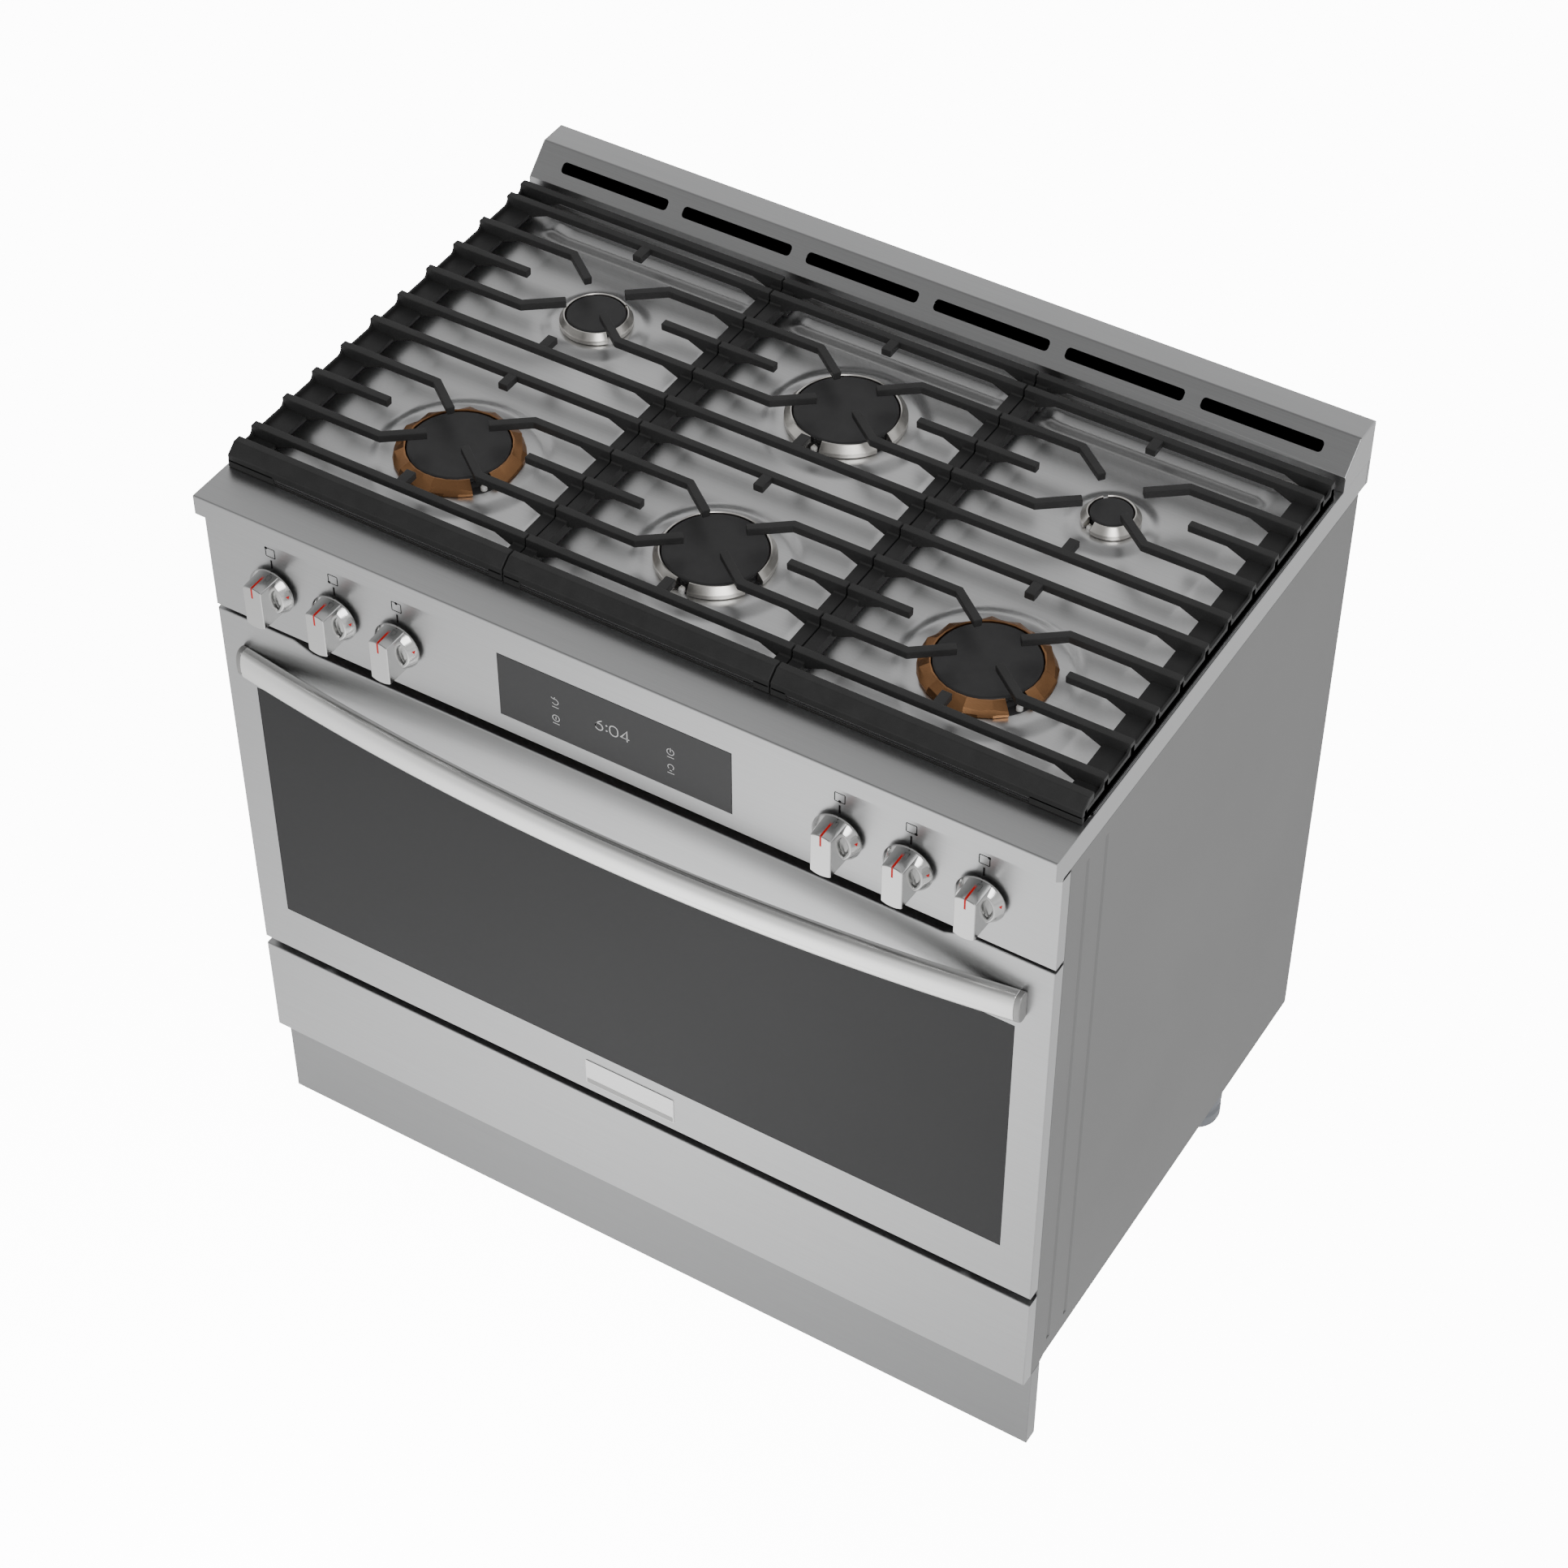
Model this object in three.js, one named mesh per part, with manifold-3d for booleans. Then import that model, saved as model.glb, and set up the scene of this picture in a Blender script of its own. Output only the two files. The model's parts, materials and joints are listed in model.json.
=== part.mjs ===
// Freestanding gas range: six burners, one oven with a drop-down door, and a drawer under it.
// Millimetres, +Z up, +X to the right as seen from the front, front face towards -Y.
// The origin is on the floor, in the middle of the range's width and depth.
import * as THREE from "three";
import { mergeVertices } from "three/addons/utils/BufferGeometryUtils.js";
import Module from "manifold-3d";

// ---------- driving dimensions ----------
const WIDTH = 911; // over the side panels
const DEPTH = 653.7; // handle front to backguard back
const TOE_HEIGHT = 118.7; // floor to the drawer front
const DRAWER_HEIGHT = 127.9;
const DRAWER_GAP = 10.9; // dark gap between drawer front and door
const DOOR_HEIGHT = 463.9;
const CONSOLE_GAP = 5.1; // gap between door and console
const CONSOLE_HEIGHT = 111.8;
const LIP_HEIGHT = 32.8; // console top to cooktop top
const BACKGUARD_RISE = 45.6; // above the cooktop
const FIT = 0.35; // clearance between pieces that touch
const SHEET = 1.5; // steel sheet
const FRONT_DEPTH = 14.6; // returns of the door, console and drawer fronts
const SIDE_TO_FRONT = 1.0; // between those returns and the side panels
const HANDLE_OUT = 48.2; // handle front, from the door face

// places along the height
const drawerZ0 = TOE_HEIGHT;
const drawerZ1 = drawerZ0 + DRAWER_HEIGHT;
const doorZ0 = drawerZ1 + DRAWER_GAP;
const doorZ1 = doorZ0 + DOOR_HEIGHT;
const consoleZ0 = doorZ1 + CONSOLE_GAP;
const consoleZ1 = consoleZ0 + CONSOLE_HEIGHT;
const topZ = consoleZ1 + LIP_HEIGHT;

// places along the depth and the width
const backY = DEPTH / 2;
const faceY = -DEPTH / 2 + HANDLE_OUT;
const frontEdgeY = faceY + FRONT_DEPTH;
const sideY0 = frontEdgeY + SIDE_TO_FRONT;
const halfW = WIDTH / 2;
const sideInX = halfW - SHEET;

// ---------- solids ----------
const wasm = await Module();
wasm.setup();

// A closed three.js geometry as a manifold solid.
function solid(geometry) {
  const bare = geometry.clone();
  bare.deleteAttribute("normal");
  bare.deleteAttribute("uv");
  const merged = mergeVertices(bare, 1e-4);
  return new wasm.Manifold(
    new wasm.Mesh({
      numProp: 3,
      vertProperties: new Float32Array(merged.attributes.position.array),
      triVerts: new Uint32Array(merged.index.array),
    }),
  );
}

// A manifold solid as a three.js geometry.
function geometryOf(made) {
  const mesh = made.getMesh();
  const positions = new Float32Array(mesh.numVert * 3);
  for (let i = 0; i < mesh.numVert; i += 1) {
    const at = i * mesh.numProp;
    positions.set(mesh.vertProperties.subarray(at, at + 3), i * 3);
  }
  const geometry = new THREE.BufferGeometry();
  geometry.setAttribute("position", new THREE.BufferAttribute(positions, 3));
  geometry.setIndex(new THREE.BufferAttribute(mesh.triVerts, 1));
  geometry.computeVertexNormals();
  return geometry;
}

const join = (pieces) => pieces.reduce((sum, piece) => sum.add(piece));
const cut = (body, tools) => tools.reduce((left, tool) => left.subtract(tool), body);

// A block between two corners.
function block(x0, x1, y0, y1, z0, z1) {
  const geometry = new THREE.BoxGeometry(x1 - x0, y1 - y0, z1 - z0);
  geometry.translate((x0 + x1) / 2, (y0 + y1) / 2, (z0 + z1) / 2);
  return solid(geometry);
}

// A block that is symmetric about the middle of the range.
const wide = (half, y0, y1, z0, z1) => block(-half, half, y0, y1, z0, z1);

function outline(points) {
  const shape = new THREE.Shape();
  shape.setFromPoints(points.map(([a, b]) => new THREE.Vector2(a, b)));
  return shape;
}

function extruded(shape, length, steps = 1, curveSegments = 3) {
  return new THREE.ExtrudeGeometry(shape, { depth: length, steps, bevelEnabled: false, curveSegments });
}

const X = new THREE.Vector3(1, 0, 0);
const Y = new THREE.Vector3(0, 1, 0);
const Z = new THREE.Vector3(0, 0, 1);

// Prisms: a (y, z) outline along X, an (x, z) outline along Y, an (x, y) outline along Z.
function alongX(shape, x0, x1, steps = 1) {
  const geometry = extruded(shape, x1 - x0, steps);
  geometry.applyMatrix4(new THREE.Matrix4().makeBasis(Y, Z, X));
  return geometry.translate(x0, 0, 0);
}
function alongY(shape, y0, y1) {
  const geometry = extruded(shape, y1 - y0);
  geometry.applyMatrix4(new THREE.Matrix4().makeBasis(X, Z, Y.clone().negate()));
  return geometry.translate(0, y1, 0);
}
function alongZ(shape, z0, z1) {
  return extruded(shape, z1 - z0).translate(0, 0, z0);
}

// A round bar along an axis, from a to b, centred on the other two coordinates.
function rod(axis, radius, a, b, u, v, sides = 12) {
  const geometry = new THREE.CylinderGeometry(radius, radius, b - a, sides);
  const mid = (a + b) / 2;
  if (axis === "x") geometry.rotateZ(Math.PI / 2).translate(mid, u, v);
  if (axis === "y") geometry.translate(u, mid, v);
  if (axis === "z") geometry.rotateX(Math.PI / 2).translate(u, v, mid);
  return solid(geometry);
}

// A turned shape: (radius, height) points around +Z.
function turned(points, sides = 24) {
  const profile = points.map(([r, z]) => new THREE.Vector2(r, z));
  const geometry = new THREE.LatheGeometry(profile, sides);
  return geometry.rotateX(Math.PI / 2);
}

// A rectangle with round corners.
function roundedRect(x0, x1, y0, y1, r) {
  const shape = new THREE.Shape();
  shape.moveTo(x0 + r, y0);
  shape.lineTo(x1 - r, y0);
  shape.absarc(x1 - r, y0 + r, r, -Math.PI / 2, 0, false);
  shape.lineTo(x1, y1 - r);
  shape.absarc(x1 - r, y1 - r, r, 0, Math.PI / 2, false);
  shape.lineTo(x0 + r, y1);
  shape.absarc(x0 + r, y1 - r, r, Math.PI / 2, Math.PI, false);
  shape.lineTo(x0, y0 + r);
  shape.absarc(x0 + r, y0 + r, r, Math.PI, Math.PI * 1.5, false);
  return shape;
}

// ---------- materials ----------
const finish = (color, roughness, metalness) => () =>
  new THREE.MeshStandardMaterial({ color, roughness, metalness });
const stainless = finish(0xb9bbbc, 0.35, 1);
const brightMetal = finish(0xdfdfdc, 0.2, 1);
const greyPaint = finish(0x888888, 0.55, 0);
const castIron = finish(0x333333, 0.75, 0.1);
const blackEnamel = finish(0x2c2c2d, 0.5, 0);
const copperRing = finish(0x9e7046, 0.4, 1);
const steelRing = finish(0xc9c6be, 0.35, 1);
const darkGlass = finish(0x4b4b4c, 0.2, 0);
const displayGlass = finish(0x555556, 0.3, 0);
const clearGlass = finish(0xa8b0b0, 0.1, 0);
const ovenEnamel = finish(0x2a2e36, 0.4, 0);
const galvanised = finish(0x9b9fa2, 0.5, 0.9);
const wireChrome = finish(0xc8cacc, 0.2, 1);
const brassMetal = finish(0xb08d4a, 0.35, 1);
const gasketBraid = finish(0x6c6a66, 0.9, 0);
const footPlastic = finish(0x7c8087, 0.6, 0);

const range = new THREE.Group();
const part = (group, name, shape, material, x = 0, y = 0, z = 0) => {
  const geometry = shape.isBufferGeometry ? shape : geometryOf(shape);
  const mesh = new THREE.Mesh(geometry, material());
  mesh.name = name;
  mesh.position.set(x, y, z);
  group.add(mesh);
};
const assembly = () => {
  const group = new THREE.Group();
  range.add(group);
  return group;
};

// ---------- body: side panels, rear panel, base frame, toe kick, legs ----------
const SIDE_BOTTOM = TOE_HEIGHT + 4.7;
const SIDE_CORNER_DROP = 4.4; // the panel's front corner reaches down to the toe kick
const SIDE_CORNER_LENGTH = 17;
const SIDE_BACK_INSET = 19; // side panel ends short of the backguard's back
const BAND_HEIGHT = 30; // cooktop's side band
const RIB_WIDTH = 9;
const RIB_DEPTH = 1.4;
const RIB_INSETS = [32, 67]; // from the panel's front edge
const RIB_BOTTOM = SIDE_BOTTOM + 18.6;
const RIB_TOP_CLEARANCE = 16; // below the panel's top edge
const FRAME_DEPTH = 27; // base frame, below the side panels
const FRAME_INSET_X = 17;
const FRAME_FRONT_INSET = 28;
const RUNNER = 8; // strips that the drawer pan slides on
const RUNNER_INSET = 60;
const PAN_LOW = 10; // drawer front's lower edge to its pan
const LEG_RADIUS = 28;
const LEG_INSET_X = 52.5;
const LEG_INSET_BACK = 90;
const LEG_INSET_FRONT = 58;
const LEG_STUD = 6;
const LEG_STUD_LENGTH = 12;
const TOE_SETBACK = 16.6;
const TOE_RETURN = 17;
const TOE_FLOOR_GAP = 1.2;

const sideBackY = backY - SIDE_BACK_INSET;
const sideTopZ = topZ - BAND_HEIGHT - FIT;
const frameZ0 = SIDE_BOTTOM - FRAME_DEPTH;
const frameX = sideInX - FRAME_INSET_X;
const panZ0 = drawerZ0 + PAN_LOW;
const frameY0 = sideY0 + FRAME_FRONT_INSET;
const frameY1 = sideBackY - SHEET - FIT;

function sidePanel() {
  const dropZ = SIDE_BOTTOM - SIDE_CORNER_DROP;
  const cornerY = sideY0 + SIDE_CORNER_LENGTH;
  const shape = outline([
    [sideY0, dropZ],
    [cornerY, dropZ],
    [cornerY + 2 * SIDE_CORNER_DROP, SIDE_BOTTOM],
    [sideBackY, SIDE_BOTTOM],
    [sideBackY, sideTopZ],
    [sideY0, sideTopZ],
  ]);
  const skin = solid(alongX(shape, sideInX, halfW));
  const ribTop = sideTopZ - RIB_TOP_CLEARANCE;
  const ribs = RIB_INSETS.map((inset) => {
    const y = sideY0 + inset;
    return block(sideInX - RIB_DEPTH, halfW - 0.4, y - RIB_WIDTH / 2, y + RIB_WIDTH / 2, RIB_BOTTOM, ribTop);
  });
  const grooves = RIB_INSETS.map((inset) => {
    const y = sideY0 + inset;
    const groove = outline([
      [halfW + 1, y - RIB_WIDTH / 2],
      [halfW - RIB_DEPTH, y - RIB_WIDTH / 6],
      [halfW - RIB_DEPTH, y + RIB_WIDTH / 6],
      [halfW + 1, y + RIB_WIDTH / 2],
    ]);
    return solid(alongZ(groove, RIB_BOTTOM + SHEET, ribTop - SHEET));
  });
  return cut(join([skin, ...ribs]), grooves);
}

const body = assembly();
const rightSide = sidePanel();
part(body, "right_side_panel", rightSide, greyPaint);
part(body, "left_side_panel", rightSide.mirror([1, 0, 0]), greyPaint);

// The rear panel has rows of vent slots and stops short of the base for the gas line.
const REAR_VENT_ROWS = 3;
const REAR_VENT_WIDTH = 60;
const REAR_VENT_PITCH = 16;
const REAR_OPEN = 62; // open strip under the panel
const rearZ0 = SIDE_BOTTOM + REAR_OPEN;
const rearVents = [];
for (let row = 0; row < REAR_VENT_ROWS; row += 1) {
  for (const side of [-1, 1]) {
    const x = side * halfW * 0.5;
    const z = sideTopZ - 60 - row * REAR_VENT_PITCH;
    rearVents.push(block(x - REAR_VENT_WIDTH, x + REAR_VENT_WIDTH, sideBackY - 9, sideBackY + 1, z, z + 5));
  }
}
const rearPlate = wide(sideInX - FIT, sideBackY - SHEET, sideBackY, rearZ0, sideTopZ);
part(body, "rear_panel", cut(rearPlate, rearVents), galvanised);

const legX = halfW - LEG_INSET_X;
const legBackY = sideBackY - LEG_INSET_BACK;
const legFrontY = sideY0 + LEG_INSET_FRONT;
const legPlaces = [
  ["front_left", -legX, legFrontY],
  ["front_right", legX, legFrontY],
  ["rear_left", -legX, legBackY],
  ["rear_right", legX, legBackY],
];
const studHoles = legPlaces.map(([, x, y]) =>
  rod("z", LEG_STUD + 2, frameZ0 - 1, frameZ0 + SHEET + 1, x, y, 10),
);
const pan = wide(frameX, frameY0, frameY1, frameZ0, SIDE_BOTTOM - 2);
const panHollow = wide(frameX - SHEET, frameY0 + SHEET, frameY1 - SHEET, frameZ0 + SHEET, SIDE_BOTTOM);
const runners = [-1, 1].map((side) => {
  const x = side * (frameX - RUNNER_INSET);
  return block(x - RUNNER / 2, x + RUNNER / 2, frameY0 + 6, frameY1 - 6, frameZ0 + 1, panZ0 - FIT);
});
part(body, "base_frame", join([cut(pan, [panHollow, ...studHoles]), ...runners]), galvanised);

const leg = turned(
  [
    [0, 0],
    [LEG_RADIUS - 6, 0],
    [LEG_RADIUS - 1.5, 2],
    [LEG_RADIUS, 7],
    [LEG_RADIUS, frameZ0 - FIT],
    [LEG_STUD, frameZ0 - FIT],
    [LEG_STUD, frameZ0 + LEG_STUD_LENGTH],
    [0, frameZ0 + LEG_STUD_LENGTH],
  ],
  14,
);
for (const [where, x, y] of legPlaces) {
  part(body, "levelling_leg_" + where, leg.clone(), footPlastic, x, y, 0);
}

const toeY = faceY + TOE_SETBACK;
const toeZ1 = drawerZ0 - FIT;
const toePlate = wide(halfW, toeY, toeY + TOE_RETURN, TOE_FLOOR_GAP, toeZ1);
const toeHollow = wide(halfW - SHEET, toeY + SHEET, toeY + TOE_RETURN + 1, -1, toeZ1 + 1);
part(body, "toe_kick_panel", cut(toePlate, [toeHollow]), stainless);

// ---------- cooktop: a pressed pan with a spill tray and a rounded front lip ----------
const LIP_OUT = 12.7; // lip ahead of the console face
const LIP_FACE = 22; // its vertical front
const RIM = 2.7; // cooktop's edge beside the tray
const FRONT_LEDGE = 55.3;
const TRAY_DEPTH = 14.1;
const TRAY_REAR_INSET = 64.8; // tray's rear wall, from the backguard's back
const TRAY_CORNER = 14;
const REAR_EDGE_INSET = 4.6; // cooktop's rear edge, from the backguard's back
const CENTRE_GRATE = 282.8; // width of the middle grate
const GRATE_INSET = 4; // outer grates' outer edges, from the range's side
const BURNER_OFFSET = 11.9; // side burners, from the middle of their grate towards the centre
const BURNER_ROWS = [0.2645, 0.7349]; // front and rear rows along the tray
const TUBE_RADIUS = 17; // a burner's tube through the tray
const TUBE_CLEARANCE = 1.5;

const lipY = faceY - LIP_OUT;
const trayY0 = lipY + FRONT_LEDGE;
const trayY1 = backY - TRAY_REAR_INSET;
const trayZ = topZ - TRAY_DEPTH;
const topRearY = backY - REAR_EDGE_INSET;
const bandZ = topZ - BAND_HEIGHT;
const trayX = halfW - RIM;
const trayLength = trayY1 - trayY0;
const BURNER_Y = BURNER_ROWS.map((share) => trayY0 + share * trayLength);
const grateSeam = CENTRE_GRATE / 2;
const grateEdge = halfW - GRATE_INSET;
const burnerX = (grateSeam + grateEdge) / 2 - BURNER_OFFSET;

// Each burner: its place, cap radius, ring radius and ring metal.
const burners = [
  ["front_left", -burnerX, BURNER_Y[0], 51, 64, copperRing],
  ["front_centre", 0, BURNER_Y[0], 51, 57.5, steelRing],
  ["front_right", burnerX, BURNER_Y[0], 51, 64, copperRing],
  ["rear_left", -burnerX, BURNER_Y[1], 30.8, 36.6, steelRing],
  ["rear_centre", 0, BURNER_Y[1], 52, 59.5, steelRing],
  ["rear_right", burnerX, BURNER_Y[1], 21.7, 28.6, steelRing],
];

function cooktop() {
  const section = outline([
    [lipY + 1, topZ],
    [lipY, topZ - 1],
    [lipY, topZ - LIP_FACE],
    [faceY - 1, consoleZ1 + FIT],
    [faceY + SHEET, consoleZ1 + FIT],
    [faceY + SHEET, bandZ],
    [topRearY, bandZ],
    [topRearY, topZ],
  ]);
  const slab = solid(alongX(section, -halfW, halfW));
  const recess = roundedRect(-trayX, trayX, trayY0, trayY1, TRAY_CORNER);
  const outerWall = roundedRect(-trayX - 1, trayX + 1, trayY0 - SHEET, trayY1 + SHEET, TRAY_CORNER);
  const under = cut(
    wide(halfW - SHEET, faceY + 2 * SHEET, topRearY - SHEET, bandZ - 1, topZ - SHEET),
    [solid(alongZ(outerWall, trayZ - SHEET, topZ))],
  );
  const holes = burners.map(([, x, y]) =>
    rod("z", TUBE_RADIUS + TUBE_CLEARANCE, trayZ - 5, trayZ + 5, x, y, 16),
  );
  return cut(slab, [under, solid(alongZ(recess, trayZ, topZ + 1)), ...holes]);
}
part(body, "cooktop", cooktop(), stainless);

// ---------- backguard: a folded sheet with a sloped, slotted face ----------
const GUARD_FRONT = 60; // its foot, from its back
const GUARD_FOOT = 18; // upright part of its front
const GUARD_TOP = 31.3; // flat top
const SLOT_COUNT = 6;
const SLOT_END = 31.5; // outermost slot's end, from the range's side
const SLOT_GAP = 18; // between slots
const SLOT_WIDTH = 12;

function backguard() {
  const foot = topZ + FIT;
  const top = topZ + BACKGUARD_RISE;
  const y0 = backY - GUARD_FRONT;
  const y1 = backY - GUARD_TOP;
  const rise = top - (foot + GUARD_FOOT);
  const run = y1 - y0;
  const slope = Math.hypot(rise, run);
  const tail = topRearY + FIT;
  const outer = outline([
    [y0, foot],
    [y0, foot + GUARD_FOOT],
    [y1, top],
    [backY, top],
    [backY, bandZ],
    [tail, bandZ],
    [tail, foot],
  ]);
  const inner = outline([
    [y0 + SHEET, foot - 1],
    [y0 + SHEET, foot + GUARD_FOOT - 0.6],
    [y1 + 0.6, top - SHEET],
    [backY - SHEET, top - SHEET],
    [backY - SHEET, foot + 4],
    [tail - SHEET, foot + 4],
    [tail - SHEET, foot - 1],
  ]);
  const shell = cut(solid(alongX(outer, -halfW, halfW)), [
    solid(alongX(inner, -halfW + SHEET, halfW - SHEET)),
  ]);
  const slots = [];
  const pitch = (WIDTH - 2 * SLOT_END + SLOT_GAP) / SLOT_COUNT;
  const half = (pitch - SLOT_GAP) / 2;
  for (let i = 0; i < SLOT_COUNT; i += 1) {
    const x = (i - (SLOT_COUNT - 1) / 2) * pitch;
    const shape = roundedRect(-half, half, -SLOT_WIDTH / 2, SLOT_WIDTH / 2, 4);
    const tool = extruded(shape, 16, 1, 2).translate(0, 0, -8);
    // the slot's own width runs up the slope
    const up = new THREE.Vector3(0, run / slope, rise / slope);
    const normal = new THREE.Vector3().crossVectors(X, up);
    tool.applyMatrix4(new THREE.Matrix4().makeBasis(X, up, normal));
    tool.translate(x, (y0 + y1) / 2, (foot + GUARD_FOOT + top) / 2);
    slots.push(solid(tool));
  }
  return cut(shell, slots);
}
part(body, "backguard", backguard(), stainless);

// ---------- console with its glass touch display ----------
const DISPLAY_WIDTH = 250.6;
const DISPLAY_HEIGHT = 76;
const DISPLAY_RAISE = 19.2; // its lower edge, above the console's
const DISPLAY_THICK = 3;
const KNOBS_PER_SIDE = 3;
const KNOB_PITCH = 72;
const KNOB_INSET = 75; // outermost knob's axis, from the range's side
const KNOB_RAISE = 54; // knob axis, above the console's lower edge
const STEM_HOLE = 6.5;

const knobZ = consoleZ0 + KNOB_RAISE;
const knobPlaces = [];
for (let i = 0; i < KNOBS_PER_SIDE; i += 1) {
  const x = halfW - KNOB_INSET - i * KNOB_PITCH;
  knobPlaces.push(-x, x);
}
knobPlaces.sort((a, b) => a - b);
const displayZ0 = consoleZ0 + DISPLAY_RAISE;
const displayZ1 = displayZ0 + DISPLAY_HEIGHT;

const stemHoles = knobPlaces.map((x) =>
  rod("y", STEM_HOLE, faceY - 1, faceY + SHEET + 1, x, knobZ, 14),
);
const consoleBox = wide(halfW, faceY, frontEdgeY, consoleZ0, consoleZ1);
const consoleHollow = wide(halfW - SHEET, faceY + SHEET, frontEdgeY + 1, consoleZ0 + SHEET, consoleZ1 - SHEET);
const displayCut = wide(DISPLAY_WIDTH / 2 + FIT, faceY - 1, faceY + 5, displayZ0 - FIT, displayZ1 + FIT);
part(body, "control_console", cut(consoleBox, [consoleHollow, displayCut, ...stemHoles]), stainless);
const displayPane = wide(DISPLAY_WIDTH / 2, faceY - 0.3, faceY + DISPLAY_THICK, displayZ0, displayZ1);
part(body, "display_glass", displayPane, displayGlass);

// ---------- oven: cavity, front frame, burners, fan, racks ----------
const OVEN_SIDE = 100; // outside of the range to the cavity's inside
const OVEN_BELOW = 48; // door's lower edge to the cavity floor
const OVEN_ABOVE = 42; // cavity roof to the door's upper edge
const OVEN_BACK_SPACE = 71; // for the fan's motor, ahead of the rear panel
const DOOR_PLUG = 27.5; // door's inner part, behind its front skin
const GASKET = 4; // gasket space, door's inner part to the oven's front flange
const RACK_GUIDE = 6; // guide ledge on the cavity's side walls
const RACK_HEIGHTS = [0.2, 0.4, 0.6, 0.8]; // of the cavity's height
const RACK_IN_USE = [0.2, 0.6];
const FAN_RADIUS = 66;
const SHAFT_RADIUS = 4;

const ovenX = halfW - OVEN_SIDE;
const ovenZ0 = doorZ0 + OVEN_BELOW;
const ovenZ1 = doorZ1 - OVEN_ABOVE;
const ovenHeight = ovenZ1 - ovenZ0;
const frameFaceY = frontEdgeY + DOOR_PLUG + GASKET;
const ovenY0 = frameFaceY;
const ovenY1 = sideBackY - OVEN_BACK_SPACE;
const fanZ = (ovenZ0 + ovenZ1) / 2;
const guideZ = (share) => ovenZ0 + share * ovenHeight;

const oven = assembly();
const frontFlange = wide(sideInX - RIB_DEPTH - FIT, frameFaceY, frameFaceY + SHEET, drawerZ1 + 3, consoleZ0);
const ovenBox = wide(ovenX + SHEET, ovenY0, ovenY1 + SHEET, ovenZ0 - SHEET, ovenZ1 + SHEET);
const ovenOuter = join([frontFlange, ovenBox]);
const ovenInner = wide(ovenX, ovenY0 - 1, ovenY1, ovenZ0, ovenZ1);
const shaftHole = rod("y", SHAFT_RADIUS + 1, ovenY1 - 1, ovenY1 + SHEET + 1, 0, fanZ, 16);
const ledges = RACK_HEIGHTS.flatMap((share) =>
  [-1, 1].map((side) => {
    const inner = side * (ovenX - RACK_GUIDE);
    const outer = side * (ovenX + 0.5);
    const z = guideZ(share);
    return block(Math.min(inner, outer), Math.max(inner, outer), ovenY0 + 30, ovenY1 - 20, z - 6, z);
  }),
);
part(oven, "oven_cavity", join([cut(ovenOuter, [ovenInner, shaftHole]), ...ledges]), ovenEnamel);

// A burner of round tube: two legs joined at the back by a cross tube.
function tubeBurner(halfSpan, y0, y1, radius) {
  const side = (x) => rod("y", radius, y0, y1, x, 0, 10);
  return join([side(-halfSpan), side(halfSpan), rod("x", radius, -halfSpan, halfSpan, y1 - radius, 0, 10)]);
}
const bakeZ = ovenZ0 - SHEET - 16;
part(oven, "bake_burner", tubeBurner(ovenX * 0.45, ovenY0 + 40, ovenY1 - 60, 9), galvanised, 0, 0, bakeZ);
const broilZ = ovenZ1 - 16;
part(oven, "broil_burner", tubeBurner(ovenX * 0.3, ovenY0 + 60, ovenY1 - 60, 8), galvanised, 0, 0, broilZ);

// Fan on its shaft, a slotted round cover in front of it and the motor behind the cavity.
const fanY1 = ovenY1 - 8;
const fanY0 = fanY1 - 22;
const blades = [];
const BLADES = 6;
for (let i = 0; i < BLADES; i += 1) {
  const blade = new THREE.BoxGeometry(FAN_RADIUS - 12, 20, 1.6);
  blade.translate((FAN_RADIUS - 12) / 2 + 10, 0, 0);
  blade.rotateX(0.5);
  blade.rotateY((i * 2 * Math.PI) / BLADES);
  blades.push(solid(blade));
}
const hub = rod("y", 14, -11, 11, 0, 0, 20);
const shaft = rod("y", SHAFT_RADIUS, -11, ovenY1 + SHEET + 12 - (fanY0 + fanY1) / 2, 0, 0, 12);
part(oven, "convection_fan", join([hub, shaft, ...blades]), galvanised, 0, (fanY0 + fanY1) / 2, fanZ);

const coverY1 = fanY0 - 5;
const coverDish = solid(turned(
  [
    [0, 0],
    [FAN_RADIUS + 16, 0],
    [FAN_RADIUS + 20, 4],
    [FAN_RADIUS + 20, ovenY1 - coverY1 - FIT + 2],
    [FAN_RADIUS + 18, ovenY1 - coverY1 - FIT + 2],
    [FAN_RADIUS + 18, 5],
    [FAN_RADIUS + 15, 2],
    [0, 2],
  ],
  28,
).rotateX(-Math.PI / 2));
const coverSlots = [];
const COVER_SLOTS = 8;
for (let i = 0; i < COVER_SLOTS; i += 1) {
  const slot = new THREE.BoxGeometry(42, 10, 7).translate(38, 1, 0);
  slot.rotateY((i * 2 * Math.PI) / COVER_SLOTS);
  coverSlots.push(solid(slot));
}
part(oven, "fan_cover", cut(coverDish, coverSlots), ovenEnamel, 0, coverY1 - 2, fanZ);

const motorY0 = ovenY1 + SHEET + 6;
const motorCan = rod("y", 36, motorY0, motorY0 + 40, 0, fanZ, 24);
const motorPlate = block(-52, 52, motorY0 - 4, motorY0, fanZ - 20, fanZ + 20);
const motorBore = rod("y", SHAFT_RADIUS + FIT, motorY0 - 5, motorY0 + 14, 0, fanZ, 12);
part(oven, "fan_motor", cut(join([motorCan, motorPlate]), [motorBore]), galvanised);

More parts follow.
